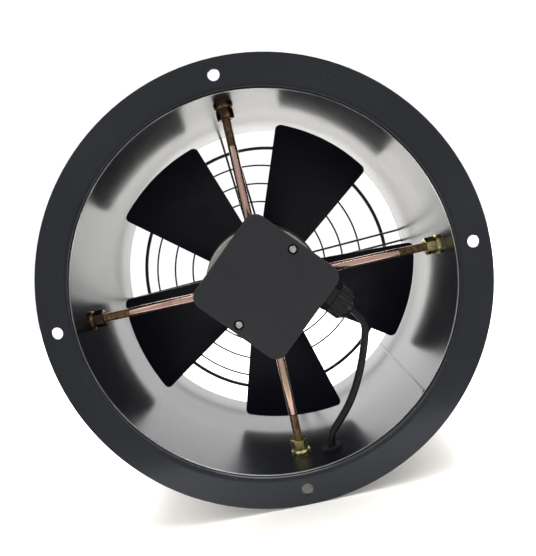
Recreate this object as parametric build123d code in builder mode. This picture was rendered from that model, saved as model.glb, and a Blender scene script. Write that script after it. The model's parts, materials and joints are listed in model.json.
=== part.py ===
"""Inline duct fan with an external-rotor motor held on four rods.

Units are millimetres. The duct's axis is Y and +Z is up. The origin is on that axis, in the outer face of
the front flange. The motor hangs in front of the five blades, and the wire guard closes the rear end.
"""
import os
from math import cos, radians, sin

from build123d import *

os.makedirs("parts", exist_ok=True)

# Casing: one rolled sheet with both flanges formed from it
DUCT_RADIUS = 156.5
DUCT_LENGTH = 180.0
SHEET = 2.0
FLANGE_RADIUS = 183.0
BEND_INSIDE = 3.0
BOLT_CIRCLE = 170.0
BOLT_HOLE_RADIUS = 4.75
GUARD_BOLT_HOLE_RADIUS = 4.5
SEAM_ANGLE = -45.5
SEAM_WIDTH = 3.0
SEAM_PROUD = 0.4
CASING_OUTSIDE = DUCT_RADIUS + SHEET

# Four M8 rods that carry the motor
ROD_ANGLES = {"right": 0.0, "top": 90.0, "left": 180.0, "bottom": 270.0}
ROD_Y = 41.0
ROD_RADIUS = 3.95
ROD_INNER_END = 27.0
ROD_OUTER_END = 172.0
ROD_HOLE_RADIUS = 4.55
NUT_FLATS = 13.0
NUT_HEIGHT = 8.0
NUT_FLANGE_RADIUS = 8.4
NUT_FLANGE_HEIGHT = 1.6
LONG_NUT_HEIGHT = 12.5
LONG_NUT_FLANGE_HEIGHT = 3.4
M8_BORE = 4.0
WASHER_THICKNESS = 1.6
WASHER_BORE = 4.2
FIT_GAP = 0.05

# Motor: fixed flange, laminations and windings inside a turning can
HUB_RADIUS = 49.5
HUB_FRONT = 32.0
HUB_BACK = 50.0
TUBE_RADIUS = 19.0
BEARING_RADIUS = 15.0
BEARING_WIDTH = 9.0
FRONT_BEARING_Y = 52.0
REAR_BEARING_Y = 105.0
PRELOAD_WIDTH = 0.5
TUBE_BACK = REAR_BEARING_Y + BEARING_WIDTH + 3.0
SHAFT_POCKET_RADIUS = 13.0
SHAFT_RADIUS = 5.0
SHAFT_SHOULDER_RADIUS = 6.4
SHAFT_FRONT = 45.0
SHAFT_BACK = 131.0
CAN_RADIUS = 51.5
CAN_WALL = 2.0
CAN_FRONT = 52.0
CAN_BACK = 132.0
CAN_CORNER = 5.0
CORE_FRONT = 68.0
CORE_LENGTH = 38.0
STATOR_RADIUS = 43.6
ROTOR_BORE_RADIUS = 44.0
SLOT_COUNT = 24
CAGE_BARS = 30
LEAD_HOLE_RADIUS = 4.0
LEAD_HOLE_OFFSET = 28.0

# Five welded sheet blades
BLADE_COUNT = 5
BLADE_FIRST_ANGLE = -18.7
BLADE_TIP_RADIUS = 147.3
BLADE_SHEET = 2.0
BLADE_ROOT_CHORD = 49.0
BLADE_TIP_CHORD = 104.0
BLADE_TIP_CORNER = 5.5
BLADE_ROOT_RISE = 20.0
BLADE_TIP_RISE = 25.5
BLADE_ROOT_Y = 96.0
BLADE_TIP_Y = 101.0
BLADE_CAMBER = 5.0

# Junction box on the hub, turned a little from the rods and a little off the axis
BOX_CENTRE = (3.0, -0.5)
BOX_SIDE = 90.0
BOX_CORNER = 10.0
BOX_WALL = 2.5
BOX_TURN = -3.0
BOX_FRONT = 9.5
BOX_BACK = HUB_FRONT
COVER_FRONT = 3.0
GASKET = 1.5
COVER_SCREW_OFFSET = 37.5
COVER_SCREWS = [(0, COVER_SCREW_OFFSET), (0, -COVER_SCREW_OFFSET)]
BOX_SCREW_OFFSET = 24.0
BOX_SCREW_RADIUS = 2.0
BOX_SCREWS = [(0, BOX_SCREW_OFFSET), (0, -BOX_SCREW_OFFSET)]

# Supply cable, its gland and its grommet
CABLE_DIAMETER = 6.4
CABLE_RADIUS = CABLE_DIAMETER / 2
GLAND_ALONG_SIDE = 25.0
GLAND_Y = 19.0
GLAND_THREAD_RADIUS = 8.0
GLAND_FLATS = 25.0
GLAND_END = 69.0
GROMMET_ANGLE = -79.8
GROMMET_Y = 30.5
GROMMET_HOLE_RADIUS = 6.0
COIL_CENTRE = (100.0, 122.0)
COIL_RADIUS = 35.0
COIL_TURNS = 3.25
FLOOR = -FLANGE_RADIUS

# Wire guard on the rear flange, whose bolt holes are turned a little from the front flange's
GUARD_TURN = 2.0
UPRIGHT_LOOP_TURN = 4.0
LOOP_WIRE = 2.5
LOOP_WIDTH = 12.5
LOOP_JOGGLE = 2.4
RING_RADIUS = 139.6
RING_WIRE = 4.0
SPIRAL_WIRE = 2.0
SPIRAL_START_RADIUS = 126.5
SPIRAL_PITCH = 20.6
SPIRAL_QUARTERS = 19
WELD_DEPTH = 0.1
LOOP_Y = DUCT_LENGTH + LOOP_WIRE / 2
LOOP_TOP = DUCT_LENGTH + LOOP_WIRE
GUARD_BOLT_ANGLES = (GUARD_TURN, 90.0 + UPRIGHT_LOOP_TURN, 180.0 + GUARD_TURN, 270.0 + UPRIGHT_LOOP_TURN)
GUARD_BOLTS = [(BOLT_CIRCLE * cos(radians(a)), BOLT_CIRCLE * sin(radians(a))) for a in GUARD_BOLT_ANGLES]


def facing_front(y, turn=0.0):
    """A plane across the duct at y, turned from X towards Z by an angle, which extrudes towards the front."""
    return Plane(origin=(0, y, 0), x_dir=(cos(radians(turn)), 0, sin(radians(turn))), z_dir=(0, -1, 0))


def guard_plane(y):
    """A plane across the duct in line with the guard's level loop."""
    return facing_front(y, GUARD_TURN)


def facing_out(angle, radius, y):
    """A plane square to the radius at that angle, which extrudes away from the axis."""
    turn = radians(angle)
    return Plane(
        origin=(radius * cos(turn), y, radius * sin(turn)),
        x_dir=(0, 1, 0),
        z_dir=(cos(turn), 0, sin(turn)),
    )


def box_plane(y):
    """A plane across the duct at the junction box's middle: its own x points through the gland's wall."""
    turn = radians(-45.0 + BOX_TURN)
    return Plane(origin=(BOX_CENTRE[0], y, BOX_CENTRE[1]), x_dir=(cos(turn), 0, sin(turn)), z_dir=(0, -1, 0))


def gland_plane(distance):
    """A plane square to the gland's axis at that distance from the box's middle, which extrudes outward."""
    across = box_plane(GLAND_Y)
    origin = across.from_local_coords(Vector(distance, GLAND_ALONG_SIDE, 0))
    return Plane(origin=origin, x_dir=(0, 1, 0), z_dir=across.x_dir)


def save(part, name):
    """Label a finished piece and write its STEP file."""
    part.label = name
    export_step(part, f"parts/{name}.step")


def revolve_profile(points):
    """Turn a closed outline of (radius, y) points about the duct's axis, inside a BuildPart."""
    with BuildSketch(Plane.XY) as outline:
        with BuildLine():
            Polyline(*points, close=True)
        make_face()
    revolve(outline.sketch, axis=Axis.Y)


def cylinder_outward(plane, radius, length, mode=Mode.ADD):
    """Extrude a disc from a plane, inside a BuildPart."""
    with BuildSketch(plane) as disc:
        Circle(radius)
    extrude(disc.sketch, amount=length, mode=mode)


def flange_nut(plane, flange_height=NUT_FLANGE_HEIGHT, height=NUT_HEIGHT):
    """A hexagon nut with its flange on the plane, inside a BuildPart."""
    with BuildSketch(plane) as nut_flange:
        Circle(NUT_FLANGE_RADIUS)
        Circle(M8_BORE, mode=Mode.SUBTRACT)
    extrude(nut_flange.sketch, amount=flange_height)
    with BuildSketch(plane.offset(flange_height)) as nut_hexagon:
        RegularPolygon(NUT_FLATS / 2, 6, major_radius=False)
        Circle(M8_BORE, mode=Mode.SUBTRACT)
    extrude(nut_hexagon.sketch, amount=height - flange_height)


# ---------------------------------------------------------------- casing
MOUTH_BEND = SHEET + BEND_INSIDE

with BuildPart() as casing:
    with BuildSketch(Plane.XY) as casing_profile:
        with BuildLine():
            Polyline(
                (FLANGE_RADIUS, 0),
                (DUCT_RADIUS, 0),
                (DUCT_RADIUS, DUCT_LENGTH),
                (FLANGE_RADIUS, DUCT_LENGTH),
                (FLANGE_RADIUS, DUCT_LENGTH - SHEET),
                (CASING_OUTSIDE, DUCT_LENGTH - SHEET),
                (CASING_OUTSIDE, SHEET),
                (FLANGE_RADIUS, SHEET),
                close=True,
            )
        make_face()
        corners = casing_profile.vertices()
        fillet(corners.filter_by_position(Axis.X, DUCT_RADIUS, DUCT_RADIUS), MOUTH_BEND)
        fillet(corners.filter_by_position(Axis.X, CASING_OUTSIDE, CASING_OUTSIDE), BEND_INSIDE)
    revolve(axis=Axis.Y)
    with BuildSketch(facing_out(SEAM_ANGLE, DUCT_RADIUS - SEAM_PROUD, DUCT_LENGTH / 2)):
        SlotOverall(DUCT_LENGTH - 2 * MOUTH_BEND, SEAM_WIDTH)
    extrude(amount=SHEET + 2 * SEAM_PROUD)
    with BuildSketch(facing_front(0)):
        with PolarLocations(BOLT_CIRCLE, 4):
            Circle(BOLT_HOLE_RADIUS)
    extrude(amount=-SHEET, mode=Mode.SUBTRACT)
    with BuildSketch(facing_front(DUCT_LENGTH - SHEET)):
        with Locations(*GUARD_BOLTS):
            Circle(GUARD_BOLT_HOLE_RADIUS)
    extrude(amount=-SHEET, mode=Mode.SUBTRACT)
    for rod_angle in ROD_ANGLES.values():
        rod_hole = facing_out(rod_angle, DUCT_RADIUS - SHEET, ROD_Y)
        cylinder_outward(rod_hole, ROD_HOLE_RADIUS, 3 * SHEET, mode=Mode.SUBTRACT)
    cable_hole = facing_out(GROMMET_ANGLE, DUCT_RADIUS - SHEET, GROMMET_Y)
    cylinder_outward(cable_hole, GROMMET_HOLE_RADIUS, 3 * SHEET, mode=Mode.SUBTRACT)
save(casing.part, "casing")

# ---------------------------------------------------------------- support rods and their nuts
WALL_SAG = 0.3
OUTER_WASHER_SEAT = CASING_OUTSIDE + 0.02
INNER_NUT_SEAT = DUCT_RADIUS - WALL_SAG
OUTER_NUT_SEAT = OUTER_WASHER_SEAT + WASHER_THICKNESS
ROD_END_CHAMFER = 0.8

for rod_name, rod_angle in ROD_ANGLES.items():
    with BuildPart() as rod:
        rod_start = facing_out(rod_angle, ROD_INNER_END, ROD_Y)
        cylinder_outward(rod_start, ROD_RADIUS, ROD_OUTER_END - ROD_INNER_END)
        chamfer(rod.edges().filter_by(GeomType.CIRCLE), ROD_END_CHAMFER)
    save(rod.part, f"support_rod_{rod_name}")

with BuildPart() as inner_rod_nuts:
    for rod_angle in ROD_ANGLES.values():
        flange_nut(-facing_out(rod_angle, INNER_NUT_SEAT, ROD_Y), LONG_NUT_FLANGE_HEIGHT, LONG_NUT_HEIGHT)
save(inner_rod_nuts.part, "inner_rod_nuts")

with BuildPart() as outer_rod_washers:
    for rod_angle in ROD_ANGLES.values():
        with BuildSketch(facing_out(rod_angle, OUTER_WASHER_SEAT, ROD_Y)):
            Circle(NUT_FLANGE_RADIUS)
            Circle(WASHER_BORE, mode=Mode.SUBTRACT)
        extrude(amount=WASHER_THICKNESS)
save(outer_rod_washers.part, "outer_rod_washers")

with BuildPart() as outer_rod_nuts:
    for rod_angle in ROD_ANGLES.values():
        with BuildSketch(facing_out(rod_angle, OUTER_NUT_SEAT, ROD_Y)):
            RegularPolygon(NUT_FLATS / 2, 6, major_radius=False)
            Circle(M8_BORE, mode=Mode.SUBTRACT)
        extrude(amount=NUT_HEIGHT - NUT_FLANGE_HEIGHT)
save(outer_rod_nuts.part, "outer_rod_nuts")

# ---------------------------------------------------------------- stator flange and its bearing tube
HUB_EDGE = 2.0
TUBE_FRONT = 40.0
CIRCLIP_THICKNESS = 1.1
CIRCLIP_DEPTH = 0.6
REAR_CLIP_Y = REAR_BEARING_Y + BEARING_WIDTH + FIT_GAP

with BuildPart() as stator_flange:
    cylinder_outward(facing_front(HUB_BACK), HUB_RADIUS, HUB_BACK - HUB_FRONT)
    fillet(stator_flange.edges().filter_by(GeomType.CIRCLE), HUB_EDGE)
    cylinder_outward(facing_front(HUB_BACK), TUBE_RADIUS, HUB_BACK - TUBE_FRONT, mode=Mode.SUBTRACT)
    for rod_angle in ROD_ANGLES.values():
        hub_hole = facing_out(rod_angle, ROD_INNER_END - 1, ROD_Y)
        cylinder_outward(hub_hole, ROD_RADIUS + FIT_GAP, HUB_RADIUS, mode=Mode.SUBTRACT)
    with BuildSketch(box_plane(HUB_FRONT)):
        with Locations((-LEAD_HOLE_OFFSET, 0)):
            Circle(LEAD_HOLE_RADIUS)
        with Locations(*BOX_SCREWS):
            Circle(BOX_SCREW_RADIUS)
    extrude(amount=-(HUB_BACK - HUB_FRONT), mode=Mode.SUBTRACT)
save(stator_flange.part, "stator_flange")

with BuildPart() as bearing_tube:
    revolve_profile(
        [
            (SHAFT_POCKET_RADIUS, TUBE_FRONT),
            (TUBE_RADIUS, TUBE_FRONT),
            (TUBE_RADIUS, TUBE_BACK),
            (BEARING_RADIUS, TUBE_BACK),
            (BEARING_RADIUS, REAR_CLIP_Y + CIRCLIP_THICKNESS + FIT_GAP),
            (BEARING_RADIUS + CIRCLIP_DEPTH, REAR_CLIP_Y + CIRCLIP_THICKNESS + FIT_GAP),
            (BEARING_RADIUS + CIRCLIP_DEPTH, REAR_CLIP_Y - FIT_GAP),
            (BEARING_RADIUS, REAR_CLIP_Y - FIT_GAP),
            (BEARING_RADIUS, FRONT_BEARING_Y),
            (SHAFT_POCKET_RADIUS, FRONT_BEARING_Y),
        ]
    )
save(bearing_tube.part, "bearing_tube")

# ---------------------------------------------------------------- stator stack and windings
SLOT_BOTTOM = 27.0
SLOT_TOP = 41.0
SLOT_WIDTH = 4.2
SLOT_MOUTH = 2.4
SLOT_LINER = 0.2
END_TURN_LENGTH = 11.5
END_TURN_INSIDE = 25.0
END_TURN_OUTSIDE = 42.5
END_TURN_ROUND = 4.0
CORE_BACK = CORE_FRONT + CORE_LENGTH

with BuildPart() as stator_stack:
    with BuildSketch(facing_front(CORE_FRONT)):
        Circle(STATOR_RADIUS)
        Circle(TUBE_RADIUS + FIT_GAP, mode=Mode.SUBTRACT)
        with PolarLocations((SLOT_BOTTOM + SLOT_TOP) / 2, SLOT_COUNT):
            SlotOverall(SLOT_TOP - SLOT_BOTTOM, SLOT_WIDTH, mode=Mode.SUBTRACT)
        with PolarLocations(STATOR_RADIUS, SLOT_COUNT):
            Rectangle(2 * (STATOR_RADIUS - SLOT_TOP) + 2, SLOT_MOUTH, mode=Mode.SUBTRACT)
    extrude(amount=-CORE_LENGTH)
save(stator_stack.part, "stator_stack")

with BuildPart() as stator_windings:
    for near_y, far_y in (
        (CORE_FRONT - END_TURN_LENGTH, CORE_FRONT - SLOT_LINER),
        (CORE_BACK + SLOT_LINER, CORE_BACK + END_TURN_LENGTH),
    ):
        with BuildSketch(Plane.XY):
            with Locations(((END_TURN_INSIDE + END_TURN_OUTSIDE) / 2, (near_y + far_y) / 2)):
                RectangleRounded(END_TURN_OUTSIDE - END_TURN_INSIDE, far_y - near_y, END_TURN_ROUND)
        revolve(axis=Axis.Y)
    with BuildSketch(facing_front(CORE_FRONT - END_TURN_LENGTH / 2)):
        with PolarLocations((SLOT_BOTTOM + SLOT_TOP) / 2, SLOT_COUNT):
            SlotOverall(SLOT_TOP - SLOT_BOTTOM - 2 * SLOT_LINER, SLOT_WIDTH - 2 * SLOT_LINER)
    extrude(amount=-(CORE_LENGTH + END_TURN_LENGTH))
save(stator_windings.part, "stator_windings")

LEAD_SLEEVE_RADIUS = 3.0
LEAD_FRONT = 24.0

with BuildPart() as motor_leads:
    with BuildSketch(box_plane(LEAD_FRONT)):
        with Locations((-LEAD_HOLE_OFFSET, 0)):
            Circle(LEAD_SLEEVE_RADIUS)
    extrude(amount=-(CORE_FRONT - END_TURN_LENGTH - LEAD_FRONT))
save(motor_leads.part, "motor_leads")

# ---------------------------------------------------------------- rotor: can, core, cage and shaft
CAN_BOSS_RADIUS = 12.0
CAN_BOSS_FRONT = TUBE_BACK + 2.0
CAN_INSIDE = CAN_RADIUS - CAN_WALL
CAGE_BAR_RADIUS = 1.5
CAGE_BAR_CIRCLE = 46.7
CAGE_RING_INSIDE = 44.6
CAGE_RING_LENGTH = 4.0

with BuildPart() as rotor_can:
    with BuildSketch(Plane.XY) as can_profile:
        with BuildLine():
            Polyline(
                (SHAFT_RADIUS, CAN_BOSS_FRONT),
                (CAN_BOSS_RADIUS, CAN_BOSS_FRONT),
                (CAN_BOSS_RADIUS, CAN_BACK - CAN_WALL),
                (CAN_INSIDE, CAN_BACK - CAN_WALL),
                (CAN_INSIDE, CAN_FRONT),
                (CAN_RADIUS, CAN_FRONT),
                (CAN_RADIUS, CAN_BACK),
                (SHAFT_RADIUS, CAN_BACK),
                close=True,
            )
        make_face()
        outer_corners = can_profile.vertices().filter_by_position(Axis.X, CAN_RADIUS, CAN_RADIUS)
        fillet(outer_corners.sort_by(Axis.Y)[-1], CAN_CORNER)
    revolve(axis=Axis.Y)
save(rotor_can.part, "rotor_can")

with BuildPart() as rotor_core:
    with BuildSketch(facing_front(CORE_FRONT)):
        Circle(CAN_INSIDE)
        Circle(ROTOR_BORE_RADIUS, mode=Mode.SUBTRACT)
        with PolarLocations(CAGE_BAR_CIRCLE, CAGE_BARS):
            Circle(CAGE_BAR_RADIUS, mode=Mode.SUBTRACT)
    extrude(amount=-CORE_LENGTH)
save(rotor_core.part, "rotor_core")

with BuildPart() as rotor_cage:
    for ring_y in (CORE_FRONT - FIT_GAP - CAGE_RING_LENGTH, CORE_BACK + FIT_GAP):
        with BuildSketch(facing_front(ring_y)):
            Circle(CAN_INSIDE - 2 * FIT_GAP)
            Circle(CAGE_RING_INSIDE, mode=Mode.SUBTRACT)
        extrude(amount=-CAGE_RING_LENGTH)
    with BuildSketch(facing_front(CORE_FRONT - CAGE_RING_LENGTH / 2)):
        with PolarLocations(CAGE_BAR_CIRCLE, CAGE_BARS):
            Circle(CAGE_BAR_RADIUS - FIT_GAP)
    extrude(amount=-(CORE_LENGTH + CAGE_RING_LENGTH))
save(rotor_cage.part, "rotor_cage")

FRONT_CLIP_Y = FRONT_BEARING_Y - FIT_GAP - CIRCLIP_THICKNESS
SHAFT_GROOVE_RADIUS = SHAFT_RADIUS - CIRCLIP_DEPTH / 2

with BuildPart() as motor_shaft:
    revolve_profile(
        [
            (0, SHAFT_FRONT),
            (SHAFT_RADIUS, SHAFT_FRONT),
            (SHAFT_RADIUS, FRONT_CLIP_Y - FIT_GAP),
            (SHAFT_GROOVE_RADIUS, FRONT_CLIP_Y - FIT_GAP),
            (SHAFT_GROOVE_RADIUS, FRONT_BEARING_Y),
            (SHAFT_RADIUS, FRONT_BEARING_Y),
            (SHAFT_RADIUS, FRONT_BEARING_Y + BEARING_WIDTH),
            (SHAFT_SHOULDER_RADIUS, FRONT_BEARING_Y + BEARING_WIDTH),
            (SHAFT_SHOULDER_RADIUS, REAR_BEARING_Y),
            (SHAFT_RADIUS, REAR_BEARING_Y),
            (SHAFT_RADIUS, SHAFT_BACK),
            (0, SHAFT_BACK),
        ]
    )
save(motor_shaft.part, "motor_shaft")

# ---------------------------------------------------------------- ball bearings and what holds them
BALL_CIRCLE = 10.0
BALL_RADIUS = 2.4
BALL_COUNT = 8
RACE_RADIUS = 2.7
INNER_RING_RADIUS = 8.0
OUTER_RING_INSIDE = 12.0
CAGE_HALF_WIDTH = 1.0
CAGE_HALF_THICKNESS = 0.6


def bearing_ring(inside, outside, front_y):
    """One bearing ring with its ball groove, inside a BuildPart."""
    with BuildSketch(Plane.XY) as ring_profile:
        with Locations(((inside + outside) / 2, front_y + BEARING_WIDTH / 2)):
            Rectangle(outside - inside, BEARING_WIDTH)
        with Locations((BALL_CIRCLE, front_y + BEARING_WIDTH / 2)):
            Circle(RACE_RADIUS, mode=Mode.SUBTRACT)
    revolve(ring_profile.sketch, axis=Axis.Y)


for end_name, bearing_y in (("front", FRONT_BEARING_Y), ("rear", REAR_BEARING_Y)):
    with BuildPart() as outer_ring:
        bearing_ring(OUTER_RING_INSIDE, BEARING_RADIUS, bearing_y)
    save(outer_ring.part, f"{end_name}_bearing_outer_ring")
    with BuildPart() as inner_ring:
        bearing_ring(SHAFT_RADIUS, INNER_RING_RADIUS, bearing_y)
    save(inner_ring.part, f"{end_name}_bearing_inner_ring")
    with BuildPart() as ball_set:
        with BuildSketch(facing_front(bearing_y + BEARING_WIDTH / 2 - CAGE_HALF_WIDTH)):
            Circle(BALL_CIRCLE + CAGE_HALF_THICKNESS)
            Circle(BALL_CIRCLE - CAGE_HALF_THICKNESS, mode=Mode.SUBTRACT)
        extrude(amount=-2 * CAGE_HALF_WIDTH)
        with Locations(facing_front(bearing_y + BEARING_WIDTH / 2)):
            with PolarLocations(BALL_CIRCLE, BALL_COUNT):
                Sphere(BALL_RADIUS)
    save(ball_set.part, f"{end_name}_bearing_balls")


def flat_ring(front_y, inside, outside, thickness, gap_width=0.0):
    """A flat ring about the duct's axis, open at the top when a gap is given, inside a BuildPart."""
    with BuildSketch(facing_front(front_y)) as ring_face:
        Circle(outside)
        Circle(inside, mode=Mode.SUBTRACT)
        if gap_width:
            with Locations((0, outside)):
                Rectangle(gap_width, 2 * (outside - inside) + 1, mode=Mode.SUBTRACT)
    extrude(ring_face.sketch, amount=-thickness)


with BuildPart() as bearing_spacer:
    flat_ring(
        FRONT_BEARING_Y + BEARING_WIDTH,
        SHAFT_POCKET_RADIUS,
        BEARING_RADIUS - FIT_GAP,
        REAR_BEARING_Y - PRELOAD_WIDTH - FRONT_BEARING_Y - BEARING_WIDTH,
    )
save(bearing_spacer.part, "bearing_spacer")

with BuildPart() as preload_washer:
    flat_ring(REAR_BEARING_Y - PRELOAD_WIDTH, SHAFT_POCKET_RADIUS, BEARING_RADIUS - FIT_GAP, PRELOAD_WIDTH)
save(preload_washer.part, "preload_washer")

HOUSING_CLIP_INSIDE = BEARING_RADIUS - 1.6
HOUSING_CLIP_OUTSIDE = BEARING_RADIUS + CIRCLIP_DEPTH - FIT_GAP
HOUSING_CLIP_OPENING = 6.0
SHAFT_CLIP_INSIDE = SHAFT_GROOVE_RADIUS + FIT_GAP / 2
SHAFT_CLIP_OUTSIDE = SHAFT_RADIUS + 2.0
SHAFT_CLIP_OPENING = 3.5

with BuildPart() as housing_circlip:
    flat_ring(REAR_CLIP_Y, HOUSING_CLIP_INSIDE, HOUSING_CLIP_OUTSIDE, CIRCLIP_THICKNESS, HOUSING_CLIP_OPENING)
save(housing_circlip.part, "housing_circlip")

with BuildPart() as shaft_circlip:
    flat_ring(FRONT_CLIP_Y, SHAFT_CLIP_INSIDE, SHAFT_CLIP_OUTSIDE, CIRCLIP_THICKNESS, SHAFT_CLIP_OPENING)
save(shaft_circlip.part, "shaft_circlip")

# ---------------------------------------------------------------- blades
SHEET_INNER_RADIUS = 44.0
SHEET_OUTER_RADIUS = 156.0
SHEET_MARGIN = 1.12


def along_blade(root_value, tip_value, radius):
    """A size that changes evenly from the can to the blade's tip."""
    share = (radius - CAN_RADIUS) / (BLADE_TIP_RADIUS - CAN_RADIUS)
    return root_value + (tip_value - root_value) * share


def blade_section(angle, radius):
    """The curved sheet's cross-section at a radius, wider than the finished blade."""
    half_chord = along_blade(BLADE_ROOT_CHORD, BLADE_TIP_CHORD, radius) / 2 * SHEET_MARGIN
    half_rise = along_blade(BLADE_ROOT_RISE, BLADE_TIP_RISE, radius) / 2 * SHEET_MARGIN
    middle_y = along_blade(BLADE_ROOT_Y, BLADE_TIP_Y, radius)
    front = [
        (middle_y - half_rise, half_chord),
        (middle_y + BLADE_CAMBER, 0),
        (middle_y + half_rise, -half_chord),
    ]
    back = [(y + BLADE_SHEET, across) for y, across in front]
    with BuildSketch(facing_out(angle, radius, 0)) as section:
        with BuildLine():
            ThreePointArc(*front)
            Line(front[2], back[2])
            ThreePointArc(*back[::-1])
            Line(back[0], front[0])
        make_face()
    return section.sketch


for number in range(BLADE_COUNT):
    blade_angle = BLADE_FIRST_ANGLE + number * 360 / BLADE_COUNT
    with BuildPart() as blade:
        loft([blade_section(blade_angle, SHEET_INNER_RADIUS), blade_section(blade_angle, SHEET_OUTER_RADIUS)])
        with BuildSketch(facing_front(CAN_FRONT, blade_angle)) as planform:
            with BuildLine():
                inner_half = along_blade(BLADE_ROOT_CHORD, BLADE_TIP_CHORD, SHEET_INNER_RADIUS) / 2
                outer_half = along_blade(BLADE_ROOT_CHORD, BLADE_TIP_CHORD, SHEET_OUTER_RADIUS) / 2
                Polyline(
                    (SHEET_INNER_RADIUS, -inner_half),
                    (SHEET_OUTER_RADIUS, -outer_half),
                    (SHEET_OUTER_RADIUS, outer_half),
                    (SHEET_INNER_RADIUS, inner_half),
                    close=True,
                )
            make_face()
            Circle(BLADE_TIP_RADIUS, mode=Mode.INTERSECT)
            Circle(CAN_RADIUS, mode=Mode.SUBTRACT)
            fillet(planform.vertices().filter_by(lambda v: v.X > 100 and abs(v.Y) > 20), BLADE_TIP_CORNER)
        extrude(amount=-(DUCT_LENGTH - CAN_FRONT), mode=Mode.INTERSECT)
    save(blade.part, f"fan_blade_{number + 1}")

# ---------------------------------------------------------------- junction box
BOX_INSIDE = BOX_SIDE - 2 * BOX_WALL
BOX_FLOOR_Y = BOX_BACK - BOX_WALL
POST_RADIUS = 4.0
COVER_SCREW_RADIUS = 1.9
RECESS_RADIUS = 4.3
RECESS_DEPTH = 2.6
COVER_BACK = BOX_FRONT - GASKET
COVER_EDGE = 1.2
COVER_SCREW_LENGTH = 16.0
BOX_SCREW_LENGTH = 10.0
HEAD_RADIUS = 3.7
HEAD_HEIGHT = 2.2
CROSS_SLOT = 0.8

with BuildPart() as junction_box_base:
    with BuildSketch(box_plane(BOX_FRONT)):
        RectangleRounded(BOX_SIDE, BOX_SIDE, BOX_CORNER)
    extrude(amount=-(BOX_BACK - BOX_FRONT))
    with BuildSketch(box_plane(BOX_FRONT)):
        RectangleRounded(BOX_INSIDE, BOX_INSIDE, BOX_CORNER - BOX_WALL)
        with Locations(*COVER_SCREWS):
            Circle(POST_RADIUS, mode=Mode.SUBTRACT)
    extrude(amount=-(BOX_FLOOR_Y - BOX_FRONT), mode=Mode.SUBTRACT)
    with BuildSketch(box_plane(BOX_FRONT)):
        with Locations(*COVER_SCREWS):
            Circle(COVER_SCREW_RADIUS + FIT_GAP)
    extrude(amount=-(BOX_FLOOR_Y - BOX_FRONT), mode=Mode.SUBTRACT)
    with BuildSketch(box_plane(BOX_FLOOR_Y)):
        with Locations(*BOX_SCREWS):
            Circle(BOX_SCREW_RADIUS)
        with Locations((-LEAD_HOLE_OFFSET, 0)):
            Circle(LEAD_HOLE_RADIUS)
    extrude(amount=-BOX_WALL, mode=Mode.SUBTRACT)
    gland_hole = gland_plane(BOX_INSIDE / 2 - 1)
    cylinder_outward(gland_hole, GLAND_THREAD_RADIUS + 0.1, 2 * BOX_WALL, mode=Mode.SUBTRACT)
save(junction_box_base.part, "junction_box_base")

GASKET_WIDTH = 5.0
GASKET_INSET = 1.0

with BuildPart() as junction_box_gasket:
    with BuildSketch(box_plane(COVER_BACK)):
        gasket_side = BOX_SIDE - 2 * GASKET_INSET
        RectangleRounded(gasket_side, gasket_side, BOX_CORNER - GASKET_INSET)
        gasket_inside = gasket_side - 2 * GASKET_WIDTH
        RectangleRounded(gasket_inside, gasket_inside, POST_RADIUS, mode=Mode.SUBTRACT)
        with Locations(*COVER_SCREWS):
            Circle(COVER_SCREW_RADIUS + GASKET_INSET, mode=Mode.SUBTRACT)
    extrude(amount=-GASKET)
save(junction_box_gasket.part, "junction_box_gasket")

with BuildPart() as junction_box_cover:
    with BuildSketch(box_plane(COVER_FRONT)):
        RectangleRounded(BOX_SIDE, BOX_SIDE, BOX_CORNER)
    extrude(amount=-(COVER_BACK - COVER_FRONT))
    fillet(junction_box_cover.faces().sort_by(Axis.Y)[0].edges(), COVER_EDGE)
    with BuildSketch(box_plane(COVER_FRONT)):
        with Locations(*COVER_SCREWS):
            Circle(RECESS_RADIUS)
    extrude(amount=-RECESS_DEPTH, mode=Mode.SUBTRACT)
    with BuildSketch(box_plane(COVER_FRONT)):
        with Locations(*COVER_SCREWS):
            Circle(COVER_SCREW_RADIUS + FIT_GAP)
    extrude(amount=-(COVER_BACK - COVER_FRONT), mode=Mode.SUBTRACT)
save(junction_box_cover.part, "junction_box_cover")


def pan_screws(places, seat_y, shank_radius, shank_length):
    """Cross-slotted pan-head screws whose heads sit in front of seat_y, inside a BuildPart."""
    with BuildSketch(box_plane(seat_y)) as heads:
        with Locations(*places):
            Circle(HEAD_RADIUS)
    extrude(heads.sketch, amount=HEAD_HEIGHT)
    with BuildSketch(box_plane(seat_y - HEAD_HEIGHT)) as slots:
        with Locations(*places):
            Rectangle(HEAD_RADIUS, CROSS_SLOT)
            Rectangle(CROSS_SLOT, HEAD_RADIUS)
    extrude(slots.sketch, amount=-HEAD_HEIGHT / 2, mode=Mode.SUBTRACT)
    with BuildSketch(box_plane(seat_y)) as shanks:
        with Locations(*places):
            Circle(shank_radius)
    extrude(shanks.sketch, amount=-shank_length)


with BuildPart() as cover_screws:
    pan_screws(COVER_SCREWS, COVER_FRONT + RECESS_DEPTH, COVER_SCREW_RADIUS, COVER_SCREW_LENGTH)
save(cover_screws.part, "cover_screws")

with BuildPart() as box_mounting_screws:
    pan_screws(BOX_SCREWS, BOX_FLOOR_Y, BOX_SCREW_RADIUS - FIT_GAP, BOX_SCREW_LENGTH)
save(box_mounting_screws.part, "box_mounting_screws")

TERMINAL_CENTRE = (-19.0, 24.0)
TERMINAL_SIZE = (13.0, 30.0, 12.0)
TERMINAL_STEP = 9.0
TERMINAL_HOLE_RADIUS = 2.2
TERMINAL_HOLE_DEPTH = 8.0
CAPACITOR_CENTRE = (20.0, -12.0)
CAPACITOR_SIZE = (14.0, 48.0, 16.0)
CAPACITOR_EDGE = 2.0

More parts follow.
